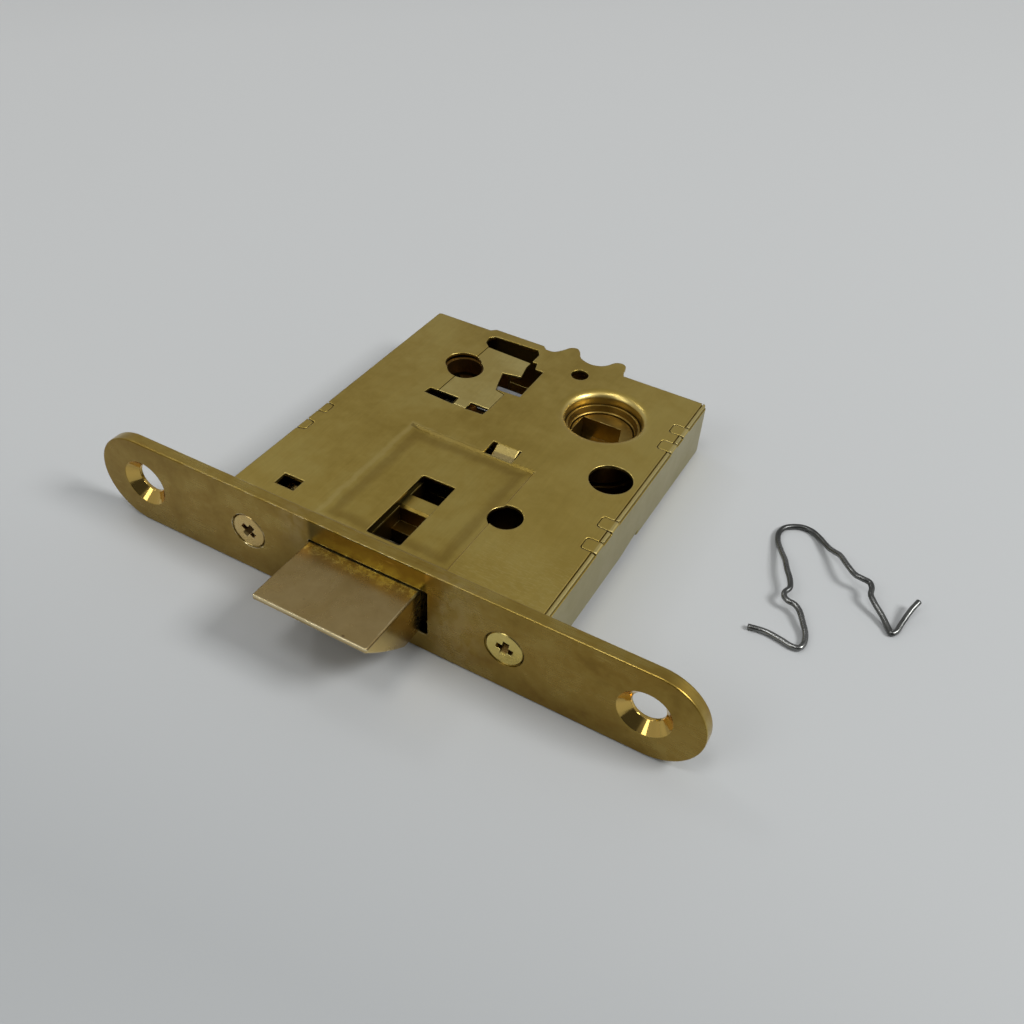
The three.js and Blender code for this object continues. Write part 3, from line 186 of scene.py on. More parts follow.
def metal(name, dark, middle, light, rough, grain, grain_depth=0.12, patch=0.07, *,
          edge, wear, bump=0.012, corner_darkening=0.5, round_edge=0.15, tint=None):
    """Bare metal: soft tarnish, rolled or brushed grain, fine scratches, soiling and painted shade in
    corners, rubbed edges.

    grain is lines per millimetre along X, Y and Z; patch is the tarnish's patches per millimetre.
    wear is a share, or a function that makes one; tint is a function that makes a colour and a shine.
    """
    material, graph = new_material(name)
    latch, axes = graph.latch_axes()

    # Tarnish: wide soft clouds, with smaller stains in them
    cloud = graph.noise(latch, patch, 3, 0.5, 0.5)
    stain = graph.noise(latch, patch * 6, 5, 0.6, 0.3)
    tarnish = graph.math("ADD", graph.times(cloud, 0.7), graph.times(stain, 0.3))
    colour = graph.ramp(tarnish, (0.38, dark), (0.5, middle), (0.62, light))
    lines = graph.noise(graph.scaled(latch, grain), 1.0, 4, 0.6)
    colour = graph.mix(1.0, colour, graph.ramp(lines, (0.3, 1 - grain_depth), (0.7, 1.0)), "MULTIPLY")
    speck = graph.noise(latch, 1.6, 3, 0.7)
    colour = graph.mix(graph.times(graph.step(speck, 0.7, 0.8), 0.5), colour, dark)
    shine = 0.0
    if tint:
        colour, shine = tint(graph, latch, axes, colour)

    # Scratches: thin lines in two directions, each broken up by a slower noise
    marks = 0.0
    for turn, stretch in SCRATCHES:
        line = graph.noise(graph.scaled(latch, stretch, (0, 0, turn)), 1.0, 2, 0.5)
        broken = graph.step(graph.noise(latch, 0.15, 2), 0.52, 0.64)
        marks = graph.math("MAXIMUM", marks, graph.times(graph.step(line, 0.68, 0.73), broken))
    colour = graph.mix(graph.times(marks, SCRATCH_SHARE), colour, light)

    # Dirt and painted shade in corners; edges rubbed bright, on the faceplate and bolt also a painted
    # highlight
    distance = {"Distance": CORNER_REACH * MM}
    open_sky = graph.node("ShaderNodeAmbientOcclusion", distance, samples=4).outputs["AO"]
    corner_dirt_and_shade = graph.times(graph.step(open_sky, 0.75, 0.2), corner_darkening)
    colour = graph.mix(corner_dirt_and_shade, colour, shaded(graph, colour, *CORNER_DIRT_AND_SHADE))
    bevel = graph.node("ShaderNodeBevel", {"Radius": RUB_REACH * MM}, samples=6).outputs[0]
    true = graph.node("ShaderNodeNewGeometry").outputs["Normal"]
    rubbed = graph.step(graph.dot(bevel, true), 0.99, 0.85)
    broken = graph.step(graph.noise(graph.scaled(latch, (0.35, 0.35, 0.6)), 1.0, 4, 0.6), 0.42, 0.6)
    worn_and_highlit = graph.times(rubbed, broken, wear(graph, axes) if callable(wear) else wear)
    colour = graph.mix(worn_and_highlit, colour, edge)

    gloss = graph.math("ADD", graph.times(graph.math("SUBTRACT", tarnish, 0.5), -0.35), rough)
    gloss = graph.math("ADD", gloss, graph.times(graph.math("SUBTRACT", lines, 0.5), 0.12))
    gloss = graph.math("ADD", gloss, graph.times(corner_dirt_and_shade, 0.2))
    gloss = graph.math("SUBTRACT", gloss, graph.times(worn_and_highlit, 0.12))
    gloss = graph.math("MAXIMUM", graph.math("SUBTRACT", gloss, shine), LEAST_ROUGHNESS)

    soft = graph.node("ShaderNodeBevel", {"Radius": round_edge * MM}, samples=8).outputs[0]
    height = graph.math("ADD", graph.times(lines, 0.6), graph.times(stain, 0.4))
    height = graph.math("SUBTRACT", height, graph.times(marks, 0.5))
    inputs = {"Height": height, "Distance": bump * MM, "Strength": 1.0, "Normal": soft}
    relief = graph.node("ShaderNodeBump", inputs).outputs[0]
    graph.surface(Base_Color=colour, Metallic=1.0, Roughness=gloss, Normal=relief)
    return material


SHARP_ANGLE = 18
WELD_DISTANCE = 0.002


def smooth_curves():
    """A modifier group: round faces shade smooth, and edges over SHARP_ANGLE degrees stay sharp."""
    group = bpy.data.node_groups.new("smooth_curves", "GeometryNodeTree")
    group.interface.new_socket("Geometry", in_out="INPUT", socket_type="NodeSocketGeometry")
    group.interface.new_socket("Geometry", in_out="OUTPUT", socket_type="NodeSocketGeometry")
    make = group.nodes.new
    start, end = make("NodeGroupInput"), make("NodeGroupOutput")
    merge = make("GeometryNodeMergeByDistance")
    merge.inputs["Distance"].default_value = WELD_DISTANCE * MM
    faces, edges = make("GeometryNodeSetShadeSmooth"), make("GeometryNodeSetShadeSmooth")
    edges.domain = "EDGE"
    edges.inputs["Shade Smooth"].default_value = False
    angle, over = make("GeometryNodeInputMeshEdgeAngle"), make("FunctionNodeCompare")
    over.operation = "GREATER_THAN"
    over.inputs[1].default_value = math.radians(SHARP_ANGLE)
    link = group.links.new
    link(start.outputs[0], merge.inputs[0])
    link(merge.outputs[0], faces.inputs["Geometry"])
    link(faces.outputs[0], edges.inputs["Geometry"])
    link(angle.outputs[0], over.inputs[0])
    link(over.outputs[0], edges.inputs["Selection"])
    link(edges.outputs[0], end.inputs[0])
    return group


# ---- finishes ------------------------------------------------------------------------------------

# Places that the finishes follow, in millimetres in the latch's axes. PANEL and LANCED_TAB are boxes:
# low X, high X, low Y, high Y.
HOLE_HALF, SINK_RADIUS = 54.3, 5.15
OPENING_LEFT, OPENING_RIGHT, OPENING_HALF = -14.1, 12.0, 5.8
BOLT_RIGHT, BOLT_TIP = 10.3, -15.75
SCREW_HALF, SCREW_SHIFT, CROSS_RADIUS = 28, -0.5, 2.1
FOLLOWER = (15.7, 63.5)
MOUTH_RADIUS = 10.3
PANEL = (-16.7, 12.4, 5.7, 38.9)
LANCED_TAB = (1, 6.9, 38.5, 42.8)
COVER_TOP = 6.3
CASE_MIDDLE, CASE_HALF = -1.5, 34.5
SCORED_LINE = 32.2


def ring(graph, a, b, middle_a, middle_b):
    """Distance from a middle, in the plane of two axes."""
    squares = [graph.math("POWER", graph.math("ABSOLUTE", graph.math("SUBTRACT", value, middle)), 2)
               for value, middle in ((a, middle_a), (b, middle_b))]
    return graph.math("SQRT", graph.math("ADD", *squares))


def shaded(graph, colour, *shade):
    return graph.mix(1.0, colour, srgb(*shade), "MULTIPLY")


def normal_of(graph):
    normal = graph.node("ShaderNodeTexCoord").outputs["Normal"]
    return graph.node("ShaderNodeSeparateXYZ", {0: normal}).outputs


def depth_inside(graph, a, b, box):
    """Distance inward from the nearest side of a box; negative outside it."""
    sides = (graph.math("SUBTRACT", a, box[0]), graph.math("SUBTRACT", box[1], a),
             graph.math("SUBTRACT", b, box[2]), graph.math("SUBTRACT", box[3], b))
    return graph.math("MINIMUM", graph.math("MINIMUM", *sides[:2]), graph.math("MINIMUM", *sides[2:]))


def plate_tint(graph, latch, axes, colour):
    """Painted shade on the front, more right of the opening and over it, paler rubbed patches beside the
    bolt, polished sinks at the ends, painted shade in the opening.
    """
    x, y, z = axes["X"], axes["Y"], axes["Z"]
    cloud = graph.noise(graph.scaled(latch, (0.09, 1, 0.16)), 1.0, 4, 0.6, 0.8)
    colour = graph.mix(graph.step(cloud, 0.42, 0.66), colour, shaded(graph, colour, 246, 240, 228))
    # Painted shade: faces turned to the front are darker.
    front = graph.step(normal_of(graph)["Y"], -0.7, -0.9)
    colour = graph.mix(front, colour, shaded(graph, colour, 230, 222, 206))
    patches = graph.noise(graph.scaled(latch, (0.45, 1, 0.3)), 1.0, 3, 0.55, 0.6)
    right = graph.times(graph.step(x, 11.5, 15), graph.step(x, 27, 17))
    left = graph.times(graph.step(x, -14, -15.5), graph.step(x, -22, -17), graph.step(z, -1, 5))
    rubbed = graph.times(graph.math("ADD", right, left), graph.step(patches, 0.36, 0.6))
    colour = graph.mix(graph.times(rubbed, 0.28), colour, srgb(184, 162, 112))
    # Painted shade: the front right of the opening is darker still.
    right_front_shade = graph.times(front, graph.step(x, 8, 13))
    colour = graph.mix(right_front_shade, colour, shaded(graph, colour, 242, 242, 240))
    # Painted shade on the front strip just over the opening.
    shade_over_opening = graph.times(front, graph.step(x, OPENING_LEFT - 0.1, -13),
                         graph.step(x, OPENING_RIGHT, OPENING_RIGHT - 1), graph.step(z, 4.8, 5.2))
    colour = graph.mix(shade_over_opening, colour, shaded(graph, colour, 182, 185, 142))
    across = graph.math("ABSOLUTE", graph.math("SUBTRACT", x, FACE_SHIFT))
    from_hole = ring(graph, across, z, HOLE_HALF, 0)
    sink = graph.times(graph.step(from_hole, SINK_RADIUS, SINK_RADIUS - 0.1), graph.step(y, 0.02, 0.1),
                       graph.step(y, 2.55, 2.45))
    colour = graph.mix(sink, colour, srgb(212, 178, 96))
    # Painted shade on the walls of the opening.
    opening = graph.times(graph.step(x, OPENING_LEFT - 0.1, OPENING_LEFT + 0.1),
                          graph.step(x, OPENING_RIGHT + 0.1, OPENING_RIGHT - 0.05), graph.step(y, 0.1, 0.5),
                          graph.step(graph.math("ABSOLUTE", z), OPENING_HALF + 0.1, OPENING_HALF - 0.1))
    colour = graph.mix(opening, colour, shaded(graph, colour, 46, 40, 30))
    return colour, graph.times(sink, 0.2)


def plate_edge_wear_and_highlight(graph, axes):
    """The upper front edge is rubbed bright left of the bolt and over it: wear and a painted highlight."""
    return graph.times(graph.step(axes["X"], -46, -40), graph.step(axes["X"], 16, 8))


def bolt_tint(graph, latch, axes, colour):
    """Amber stain where the bolt leaves the faceplate, dark pits on its top, painted light on its side,
    painted shade behind the faceplate and a painted highlight on the tip.
    """
    x, y, z = axes["X"], axes["Y"], axes["Z"]
    ragged = graph.times(graph.math("SUBTRACT", graph.noise(latch, 0.7, 5, 0.65), 0.5), 4)
    edge = graph.math("ADD", y, ragged)
    amber = graph.step(edge, -3.2, -1.2)
    flecks = graph.step(graph.noise(latch, 1.1, 4, 0.7), 0.42, 0.6)
    stain = graph.times(amber, graph.math("ADD", graph.times(flecks, 0.7), 0.12))
    colour = graph.mix(stain, colour, srgb(234, 222, 150))
    crumbs = graph.step(graph.noise(latch, 3.2, 3, 0.6), 0.6, 0.7)
    crumbs = graph.times(crumbs, graph.step(edge, -3.4, -2.2), 0.5)
    colour = graph.mix(crumbs, colour, srgb(116, 78, 40))
    cells = graph.node("ShaderNodeTexVoronoi", {"Vector": latch, "Scale": 0.22}).outputs["Distance"]
    pits = graph.times(graph.step(cells, 0.075, 0.04), graph.step(graph.noise(latch, 0.35, 2), 0.45, 0.55))
    colour = graph.mix(graph.times(pits, 0.75), colour, srgb(92, 62, 40))
    # Painted light: the right side face is made lighter.
    side = graph.times(graph.step(x, BOLT_RIGHT - 0.2, BOLT_RIGHT - 0.02), graph.step(z, 4.5, 4.3),
                       graph.step(z, -4.5, 1))
    colour = graph.mix(graph.times(side, 0.85), colour, srgb(226, 198, 120))
    # Painted shade on the part of the bolt behind the faceplate.
    colour = graph.mix(graph.step(y, 0.1, 0.7), colour, shaded(graph, colour, 60, 50, 36))
    # Painted highlight along the upper edge of the tip.
    tip = graph.times(graph.step(y, BOLT_TIP + 0.1, BOLT_TIP - 0.1), graph.step(z, 4.3, 4.6))
    return graph.mix(graph.times(tip, 0.5), colour, srgb(250, 236, 190)), 0.0


def case_tint(graph, latch, axes, colour):
    """Greyer folded walls, painted shade inside, a paler right half, and a polished mouth round the
    follower with a painted highlight.
    """
    x, y, z = axes["X"], axes["Y"], axes["Z"]
    wall = graph.step(graph.math("ABSOLUTE", normal_of(graph)["Z"]), 0.75, 0.35)
    across = graph.math("ABSOLUTE", graph.math("SUBTRACT", x, CASE_MIDDLE))
    outside = graph.step(across, CASE_HALF - 0.9, CASE_HALF - 0.3)
    colour = graph.mix(graph.times(wall, outside, 0.75), colour, srgb(158, 153, 116))
    mouth = graph.step(ring(graph, x, y, *FOLLOWER), MOUTH_RADIUS, MOUTH_RADIUS - 0.4)
    # Painted highlight: the inside of the flared mouth is lighter.
    mouth_highlight = graph.times(mouth, graph.step(z, 6.1, 5.7), 0.5)
    colour = graph.mix(mouth_highlight, colour, srgb(232, 212, 140))
    # Painted shade on the inner faces of the case, outside the mouth.
    inside = graph.times(graph.step(across, CASE_HALF - 0.9, CASE_HALF - 1.2), graph.step(y, 3.5, 3.8),
                         graph.step(y, 78.7, 78.4), graph.step(z, 5.55, 5.35),
                         graph.math("SUBTRACT", 1.0, mouth))
    colour = graph.mix(inside, colour, shaded(graph, colour, 140, 122, 96))

    # Pressed panel: a painted highlight line on its left and rear rims, painted shade just within the rear
    # rim, and a band of painted shade within them
    x0, x1, y0, y1 = PANEL
    wander = graph.times(graph.math("SUBTRACT", graph.noise(latch, 0.25, 3), 0.5), 1.6)
    depth = graph.math("ADD", depth_inside(graph, x, y, PANEL), wander)
    on_top = graph.step(z, 5.5, 5.7)
    paler = graph.times(graph.step(x, -8, 26), graph.step(z, 5.9, 6.1), 0.24)
    colour = graph.mix(paler, colour, srgb(216, 192, 106))
    # Painted shade band within the rims.
    band = graph.times(graph.step(depth, 0.9, 2.1), graph.step(depth, 4.6, 2.6), on_top, 0.6)
    colour = graph.mix(band, colour, shaded(graph, colour, 208, 200, 190))
    # Painted highlight line along the rims, strongest on the left.
    rim = graph.times(graph.step(depth, -0.7, 0.1), graph.step(depth, 1.0, 0.4), on_top,
                      graph.step(x, x1 - 3, x0), 0.22)
    colour = graph.mix(rim, colour, srgb(222, 204, 138))
    # Painted shade just within the rear rim.
    rear = graph.times(graph.step(y, y1 - 0.95, y1 - 0.75), graph.step(y, y1 + 0.1, y1),
                       graph.step(x, x1 + 0.1, x1), graph.step(x, x0 - 0.1, x0))
    colour = graph.mix(rear, colour, shaded(graph, colour, 205, 203, 198))

    # Lanced tab, and the strip outside the scored line: a painted highlight
    x0, x1, y0, y1 = LANCED_TAB
    near_top = graph.step(z, COVER_TOP - 0.2, COVER_TOP - 0.1)
    tab = graph.times(graph.step(x, x0 - 0.1, x0 + 0.1), graph.step(x, x1 + 0.1, x1 - 0.1),
                      graph.step(y, y0 - 0.1, y0 + 0.1), graph.step(y, y1 + 0.4, y1 - 0.4),
                      graph.step(z, COVER_TOP - 0.02, COVER_TOP - 0.1))
    strip = graph.times(graph.step(x, SCORED_LINE - 0.1, SCORED_LINE + 0.1), near_top)
    tab_and_strip_highlight = graph.math("ADD", graph.times(tab, 0.25), graph.times(strip, 0.45))
    colour = graph.mix(tab_and_strip_highlight, colour, srgb(232, 218, 158))
    rough_patch = graph.times(graph.step(x, 10, 16), graph.step(y, 26, 12), near_top)
    hatch = graph.noise(graph.scaled(latch, (0.7, 5, 1), (0, 0, 1.1)), 1.0, 3, 0.6)
    hatched = graph.times(rough_patch, graph.step(hatch, 0.52, 0.6), 0.26)
    colour = graph.mix(hatched, colour, srgb(214, 196, 126))
    return colour, graph.times(mouth, 0.02)


def tail_tint(graph, latch, axes, colour):
    """Painted shade below the bar that shows in the window, and on the bar's chamfer."""
    # Painted shade below the bar.
    low = graph.step(axes["Z"], 3.35, 3.0)
    colour = graph.mix(low, colour, shaded(graph, colour, 150, 136, 118))
    # Painted shade on the bar's chamfer.
    chamfer = graph.times(graph.step(axes["Y"], 18.85, 18.65), graph.step(axes["Z"], 3.3, 3.45))
    return graph.mix(chamfer, colour, shaded(graph, colour, 178, 172, 158)), 0.0


def screw_tint(graph, latch, axes, colour):
    """Darker brown in the cross recess, and painted light on the thread inside the case."""
    x, y, z = axes["X"], axes["Y"], axes["Z"]
    across = graph.math("ABSOLUTE", graph.math("SUBTRACT", x, SCREW_SHIFT))
    from_middle = ring(graph, across, z, SCREW_HALF, 0)
    recess = graph.times(graph.step(from_middle, CROSS_RADIUS + 0.1, CROSS_RADIUS - 0.1),
                         graph.step(y, 0.3, 0.7), graph.step(y, 2.6, 2.4), 0.85)
    colour = graph.mix(recess, colour, srgb(104, 72, 38))
    # Painted light: the thread inside the case is made bright.
    return graph.mix(graph.times(graph.step(y, 4, 5), 0.8), colour, srgb(250, 226, 160)), 0.0


def shades(*colours):
    return [srgb(*colour) for colour in colours]


BRASS = shades((168, 143, 67), (183, 158, 80), (193, 170, 92))
EVEN_GRAIN = (2, 2, 2)
ROLLED_GRAIN = (5, 0.15, 5)
FINISHES = {
    # Faceplate: its rubbed upper front edge is also a painted highlight.
    metal("plate_brass", *shades((158, 132, 62), (172, 147, 74), (182, 160, 90)), 0.3, (0.1, 3, 3), 0.05,
          edge=srgb(254, 242, 200), wear=plate_edge_wear_and_highlight, patch=0.09, bump=0.006,
          tint=plate_tint): ["faceplate"],
    metal("case_brass", *BRASS, 0.36, ROLLED_GRAIN, 0.1, edge=srgb(222, 204, 136), wear=0.6, patch=0.05,
          round_edge=0.4, tint=case_tint): ["case_tray", "cover_plate"],
    metal("tail_brass", *BRASS, 0.4, ROLLED_GRAIN, 0.1, edge=srgb(216, 198, 130), wear=0.5,
          tint=tail_tint): ["bolt_tail"],
    metal("light_brass", *shades((190, 168, 96), (202, 182, 110), (212, 194, 124)), 0.34, ROLLED_GRAIN, 0.1,
          edge=srgb(240, 224, 160), wear=0.6): ["inset_plate"],
    # Bolt: its rubbed edges are partly a painted highlight.
    metal("bolt_brass", *shades((162, 138, 88), (172, 148, 98), (180, 157, 107)), 0.26, (0.7, 0.5, 0.7),
          0.05, edge=srgb(250, 236, 196), wear=1.0, round_edge=0.35, bump=0.004, corner_darkening=0.15,
          tint=bolt_tint): ["latch_bolt"],
    metal("inner_brass", *shades((128, 102, 48), (150, 124, 62), (166, 140, 76)), 0.38, (1.5, 1.5, 1.5),
          edge=srgb(224, 198, 124), wear=0.6): [
        "spring_post", "bolt_guide_left", "bolt_guide_right", "follower_hub", "drive_disc", "hub_bush",
        "spring_peg", "privacy_bush", "slide_guide_pin", "retainer_rivet"],
    metal("pink_brass", *shades((196, 166, 102), (210, 180, 114), (220, 194, 132)), 0.28, EVEN_GRAIN,
          edge=srgb(246, 226, 180), wear=0.7, corner_darkening=0.95, tint=screw_tint): [
        "left_face_screw", "tail_rivet_1", "tail_rivet_2"],
    metal("yellow_brass", *shades((188, 166, 86), (204, 182, 100), (216, 196, 116)), 0.26, EVEN_GRAIN,
          edge=srgb(246, 230, 160), wear=0.8, corner_darkening=0.95, tint=screw_tint): [
        "right_face_screw", "left_screw_lug", "right_screw_lug"],
    # Painted shade: the privacy cam and its collar are made dark for the shade in the privacy hole.
    metal("shade_dark_brass", *shades((92, 66, 28), (108, 80, 36), (122, 92, 44)), 0.45, EVEN_GRAIN,
          edge=srgb(160, 126, 66), wear=0.3): ["privacy_cam", "privacy_collar"],
    metal("bare_steel", *shades((148, 150, 152), (184, 186, 188), (204, 206, 208)), 0.26, EVEN_GRAIN,
          edge=srgb(224, 226, 228), wear=0.5): ["steel_retainer"],
    metal("dull_zinc", *shades((132, 132, 126), (156, 156, 148), (176, 176, 166)), 0.45, EVEN_GRAIN,
          edge=srgb(190, 190, 180), wear=0.3): ["locking_slide"],
}
SPRING_STEEL = metal("spring_steel", *shades((84, 85, 84), (112, 113, 111), (140, 141, 139)), 0.28,
                     EVEN_GRAIN, edge=srgb(150, 151, 150), wear=0.2, corner_darkening=0.2, round_edge=0.02)
SMOOTH = smooth_curves()
for finish, names in FINISHES.items():
    for name in names:
        node = NODES[name]
        node.data.materials.clear()
        node.data.materials.append(finish)
        node.modifiers.new("smooth_curves", "NODES").node_group = SMOOTH
        weighted = node.modifiers.new("weighted_normal", "WEIGHTED_NORMAL")
        weighted.mode = "FACE_AREA_WITH_ANGLE"
        weighted.keep_sharp = True


# ---- wires ---------------------------------------------------------------------------------------

def through(points, steps):
    """A smooth line through the points, with steps pieces between neighbours."""
    ends = [points[0] * 2 - points[1], *points, points[-1] * 2 - points[-2]]
    line = []
    for before, a, b, after in zip(ends, ends[1:], ends[2:], ends[3:]):
        knots = [0.0]
        for one, other in ((before, a), (a, b), (b, after)):
            knots.append(knots[-1] + max((other - one).length, 1e-9) ** 0.5)
        slope_a = (a - before) / knots[1] - (b - before) / knots[2] + (b - a) / (knots[2] - knots[1])
        slope_b = (b - a) / (knots[2] - knots[1]) - (after - a) / (knots[3] - knots[1]) \
            + (after - b) / (knots[3] - knots[2])
        span = knots[2] - knots[1]
        for i in range(steps):
            t = i / steps
            line.append(a * (2 * t ** 3 - 3 * t ** 2 + 1) + slope_a * span * (t ** 3 - 2 * t ** 2 + t)
                        + b * (3 * t ** 2 - 2 * t ** 3) + slope_b * span * (t ** 3 - t ** 2))
    return [*line, points[-1].copy()]


CUT_EDGE = 0.16


def wire(name, line, diameter, body, node, sides=14):
    """A round wire along points in the latch's millimetres, with a small chamfer at its cut ends."""
    radius = diameter / 2
    edge = radius * CUT_EDGE
    first, last = (line[1] - line[0]).normalized(), (line[-1] - line[-2]).normalized()
    stations = [(line[0], radius - edge), (line[0] + first * edge, radius),
                *((point, radius) for point in line[1:-1]),
                (line[-1] - last * edge, radius), (line[-1], radius - edge)]
    vertices, faces = [], []
    side = first.orthogonal().normalized()
    for i, (point, size) in enumerate(stations):
        ahead = stations[min(i + 1, len(stations) - 1)][0] - stations[max(i - 1, 0)][0]
        ahead.normalize()
        side = (side - ahead * side.dot(ahead)).normalized()
        across = ahead.cross(side)
        for k in range(sides):
            angle = 2 * math.pi * k / sides
            out = side * math.cos(angle) + across * math.sin(angle)
            vertices.append((point + out * size) * MM + LATCH)
    for i in range(len(stations) - 1):
        for k in range(sides):
            a, b = i * sides + k, i * sides + (k + 1) % sides
            faces.append((a, b, b + sides, a + sides))
    faces.append(tuple(reversed(range(sides))))
    faces.append(tuple(range(len(vertices) - sides, len(vertices))))
    mesh = bpy.data.meshes.new(name)
    mesh.from_pydata(vertices, [], faces)
    mesh.polygons.foreach_set("use_smooth", [len(face) == 4 for face in faces])
    mesh.materials.append(SPRING_STEEL)
    made = bpy.data.objects.new(name, mesh)
    bpy.context.scene.collection.objects.link(made)
    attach(made, body)
    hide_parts(node)
    return made


def in_latch(corner):
    return (corner - LATCH) / MM


TURN_STEPS = 28

# Bolt spring: coils closed at both ends, a little clear of its seat on the tail, standing on the post
SPRING_WIRE, SPRING_TURNS = 0.6, 8
SEAT_GAP = 0.35
CLOSED_TURNS, CLOSED_PITCH = 0.8, 1.05
low, high = (in_latch(corner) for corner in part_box("bolt_spring"))
coil_centre = (low + high) / 2
coil_radius = (high.x - low.x - SPRING_WIRE) / 2
front, rear = low.y + SPRING_WIRE / 2 + SEAT_GAP, high.y - SPRING_WIRE / 2
closed = CLOSED_TURNS * SPRING_WIRE * CLOSED_PITCH
coil = []
for i in range(SPRING_TURNS * TURN_STEPS + 1):
    turn = i / TURN_STEPS
    if turn < CLOSED_TURNS:
        along = front + closed * turn / CLOSED_TURNS
    elif turn > SPRING_TURNS - CLOSED_TURNS:
        along = rear - closed * (SPRING_TURNS - turn) / CLOSED_TURNS
    else:
        share = (turn - CLOSED_TURNS) / (SPRING_TURNS - 2 * CLOSED_TURNS)
        along = front + closed + (rear - front - 2 * closed) * share
    angle = 2 * math.pi * turn
    coil.append(Vector((coil_centre.x + coil_radius * math.cos(angle), along,
                        coil_centre.z + coil_radius * math.sin(angle))))
bolt_spring = wire("coiled_bolt_spring", coil, SPRING_WIRE, "lock_case", "bolt_spring")
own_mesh(bolt_spring)

# Follower's spring: a leg to the front, turns round the peg and a long leg over to the follower
RETURN_WIRE, RETURN_TURNS, RETURN_PITCH, RETURN_BASE = 0.7, 2.25, 1.15, -1.6
RETURN_RADIUS = 2.45
LEG_POINTS, REACH_POINTS = (7, 2), (2, 6, 10)
low, high = (in_latch(corner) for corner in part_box("spring_peg"))
peg = (low + high) / 2
low, high = (in_latch(corner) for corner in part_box("return_spring"))
coil = []
for i in range(round(RETURN_TURNS * TURN_STEPS) + 1):
    turn = i / TURN_STEPS
    angle = 2 * math.pi * turn
    coil.append(Vector((peg.x + RETURN_RADIUS * math.cos(angle), peg.y + RETURN_RADIUS * math.sin(angle),
                        RETURN_BASE + turn * RETURN_PITCH)))
legs = [coil[0] - Vector((0, along, 0)) for along in LEG_POINTS]
reach = [coil[-1] - Vector((along, 0, 0)) for along in (*REACH_POINTS, coil[-1].x - low.x)]
wire("coiled_return_spring", [*legs, *coil, *reach], RETURN_WIRE, "lock_case", "return_spring")

# Loose clip: points along its middle line, as X, distance from the faceplate along the table, and lift
CLIP_WIRE = 1.15
CLIP_PATH = [
    (60.8, 33.2, 0), (64.2, 33.7, 0), (67.3, 33.3, 0), (69.7, 32.8, 0), (71, 33.1, 0.05),
    (71.4, 34.6, 0.15), (71, 36.6, 0.35), (69.7, 38.8, 0.75), (68.2, 41, 1.15), (66.9, 41.8, 1.45),
    (65.6, 41.9, 1.55), (64.6, 42.5, 1.65), (64.3, 43.5, 1.75), (64.8, 45.1, 1.85), (64.1, 47.2, 1.95),
    (62.8, 49.5, 1.85), (61.5, 52.2, 1.55), (59.9, 55, 0.85), (58.4, 57.9, 0.25), (57.7, 60.5, 0),
    (58.2, 62.6, 0), (59.7, 64, 0), (61.6, 64.8, 0), (63.6, 64.6, 0.05), (65.3, 63.6, 0.15),
    (68.1, 60.9, 0.75), (69.4, 59.9, 1.25), (70.8, 58.8, 1.85), (73, 56.2, 2.35), (75, 54.4, 2.55),
    (76.6, 54.1, 2.55), (78, 54, 2.35), (78.7, 53, 2.15), (79, 51.4, 1.95), (80.3, 50, 1.45),
    (82.3, 48.4, 0.75), (84.1, 46.6, 0.15), (85, 45.6, 0), (85.7, 46.4, 0.05), (86.1, 48.6, 0.45),
    (86.8, 52, 1.35), (87.6, 54.4, 2.05),
]
tilt = math.atan(TABLE_RISE)
in_face = in_latch(face_high)
clip_points = []
for x, along, lift in CLIP_PATH:
    height = lift + CLIP_WIRE / 2
    clip_points.append(Vector((x, in_face.y + along * math.cos(tilt) - height * math.sin(tilt),
                               -in_face.z + along * math.sin(tilt) + height * math.cos(tilt))))
wire("bent_wire_clip", through(clip_points, 6), CLIP_WIRE, "lock_case", "wire_clip", sides=18)


# ---- table, light and camera ---------------------------------------------------------------------

TABLE_HALF = 3.0
FRONT_EDGE = Vector((0, 2.6, -10)) * MM
TABLE_DARK, TABLE_LIGHT = srgb(170, 173, 174), srgb(206, 208, 208)


def table():
    """A large sheet that rises to the back, with painted light and shade: a gradient across it, darker
    towards the near corner.
    """
    mesh = bpy.data.meshes.new("table")
    half = TABLE_HALF
    contact = LATCH + FRONT_EDGE
    corners = [(x, y, contact.z + (y - contact.y) * TABLE_RISE) for x, y in
               ((-half, -half), (half, -half), (half, half), (-half, half))]
    mesh.from_pydata(corners, [], [(0, 1, 2, 3)])
    made = bpy.data.objects.new("table", mesh)
    bpy.context.scene.collection.objects.link(made)
    material, graph = new_material("table_top")
    place = graph.node("ShaderNodeTexCoord").outputs["Object"]
    cloud = graph.noise(place, 3.0, 3)
    axes = graph.node("ShaderNodeSeparateXYZ", {0: place}).outputs
    # Painted light and shade: the colour follows a gradient across the sheet and darkens near the front.
    slope = graph.math("ADD", graph.times(axes["X"], -1.16), graph.times(axes["Y"], 1.28))
    shade = graph.math("ADD", graph.math("ADD", slope, 0.45), graph.times(cloud, 0.06))
    near = graph.times(graph.step(axes["Y"], -0.01, -0.2), 0.86)
    shade = graph.math("SUBTRACT", shade, near, clamp=True)
    graph.surface(Base_Color=graph.ramp(shade, (0.0, TABLE_DARK), (1.0, TABLE_LIGHT)), Roughness=0.5)
    mesh.materials.append(material)


LAMP_DISTANCE = 1.0
# Name, direction from the latch, size in metres and level
LAMPS = (
    ("key", (0.68, 0.1, 0.7), 0.3, 0.62),
    ("window", (-0.34, -0.66, 0.67), 0.36, 0.12),
    ("side", (-0.65, 0.16, 0.7), 0.14, 0.05),
    ("overhead", (-0.06, -0.28, 0.93), 0.24, 0.15),
)


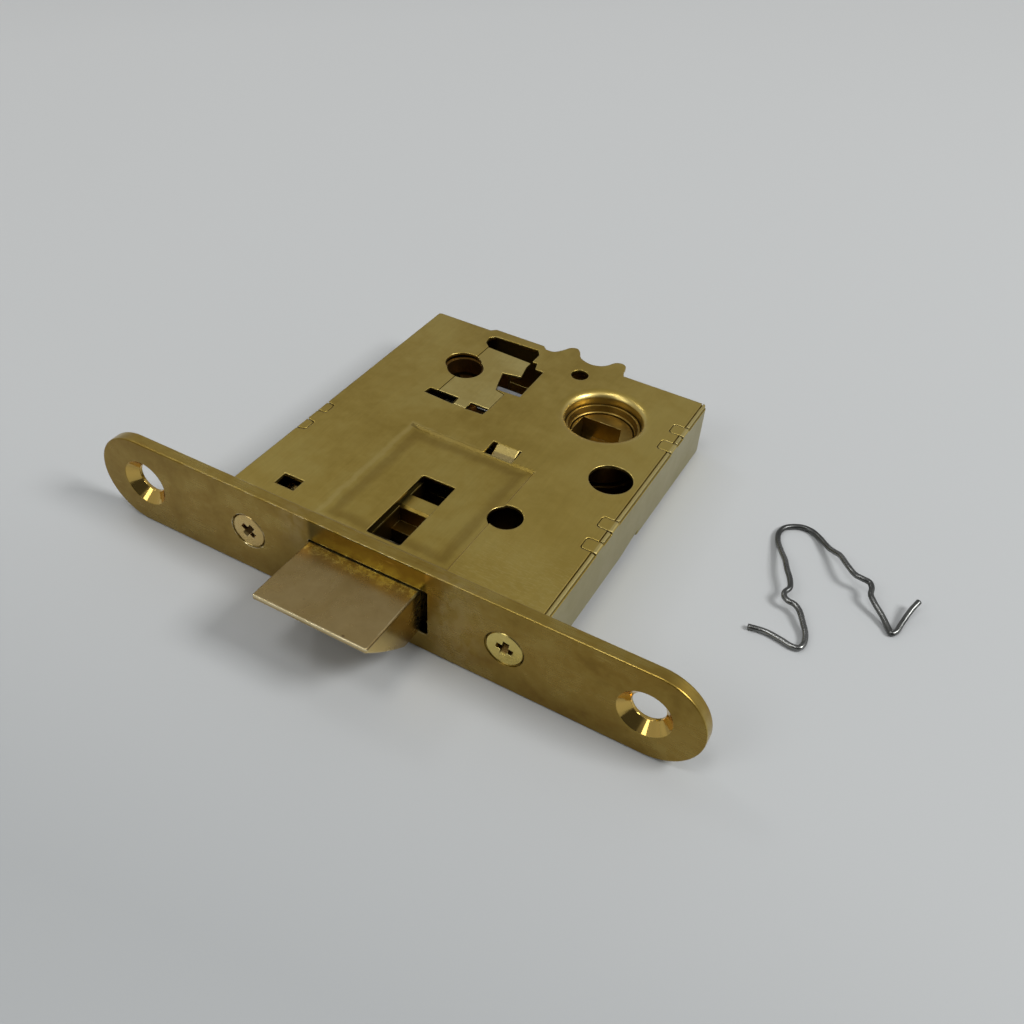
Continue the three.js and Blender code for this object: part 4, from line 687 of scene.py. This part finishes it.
def softbox(name, way, size, level):
    """A square lamp in the direction way. At level 1 a face turned to it shows its colour as written."""
    data = bpy.data.lights.new(name, "AREA")
    data.shape = "SQUARE"
    data.size = size
    data.energy = level * (math.pi * LAMP_DISTANCE) ** 2
    made = bpy.data.objects.new(name, data)
    back = Vector(way).normalized()
    made.location = LATCH + TARGET + back * LAMP_DISTANCE
    made.rotation_mode = "QUATERNION"
    made.rotation_quaternion = (-back).to_track_quat("-Z", "Y")
    bpy.context.scene.collection.objects.link(made)


# Greys of the room by height, and its dark parts as direction, where they start and end, and grey
ROOM_GREYS = ((0.0, 0.44), (0.3, 0.4), (0.65, 0.39), (1.0, 0.42))
DARK_PARTS = (((0.45, -0.85, 0.3), 0.66, 0.93, 0.06), ((0.1, 0.62, 0.78), 0.86, 0.98, 0.33))


def world():
    """A grey room, darker low at the front right and high at the back."""
    made = bpy.data.worlds.new("studio")
    made.use_nodes = True
    graph = Graph(made.node_tree)
    way = graph.node("ShaderNodeTexCoord").outputs["Generated"]
    height = graph.node("ShaderNodeSeparateXYZ", {0: way}).outputs["Z"]
    colour = graph.ramp(height, *ROOM_GREYS)
    for middle, start, end, grey in DARK_PARTS:
        near = graph.dot(way, Vector(middle).normalized())
        colour = graph.mix(graph.step(near, start, end), colour, (grey, grey, grey, 1))
    background = graph.node("ShaderNodeBackground", {"Color": colour, "Strength": 1.0})
    graph.node("ShaderNodeOutputWorld", {"Surface": background.outputs[0]})
    bpy.context.scene.world = made


SENSOR_WIDTH = 36


def camera():
    azimuth, elevation, roll = (math.radians(angle) for angle in (AZIMUTH, ELEVATION, ROLL))
    back = Vector((math.sin(azimuth) * math.cos(elevation), -math.cos(azimuth) * math.cos(elevation),
                   math.sin(elevation)))
    right = (-back).cross(Vector((0, 0, 1))).normalized()
    up = right.cross(-back)
    right, up = (math.cos(roll) * right + math.sin(roll) * up,
                 math.cos(roll) * up - math.sin(roll) * right)
    data = bpy.data.cameras.new("camera")
    data.sensor_width = SENSOR_WIDTH
    data.lens = SENSOR_WIDTH * FOCAL_PIXELS / PICTURE_PIXELS
    data.clip_start, data.clip_end = 0.01, 50
    made = bpy.data.objects.new("camera", data)
    place = LATCH + TARGET + back * DISTANCE
    turn = Matrix((right, up, back)).transposed().to_4x4()
    made.matrix_world = Matrix.Translation(place) @ turn
    bpy.context.scene.collection.objects.link(made)
    bpy.context.scene.camera = made


table()
world()
for lamp in LAMPS:
    softbox(*lamp)
camera()
bpy.context.scene.view_settings.view_transform = "Standard"
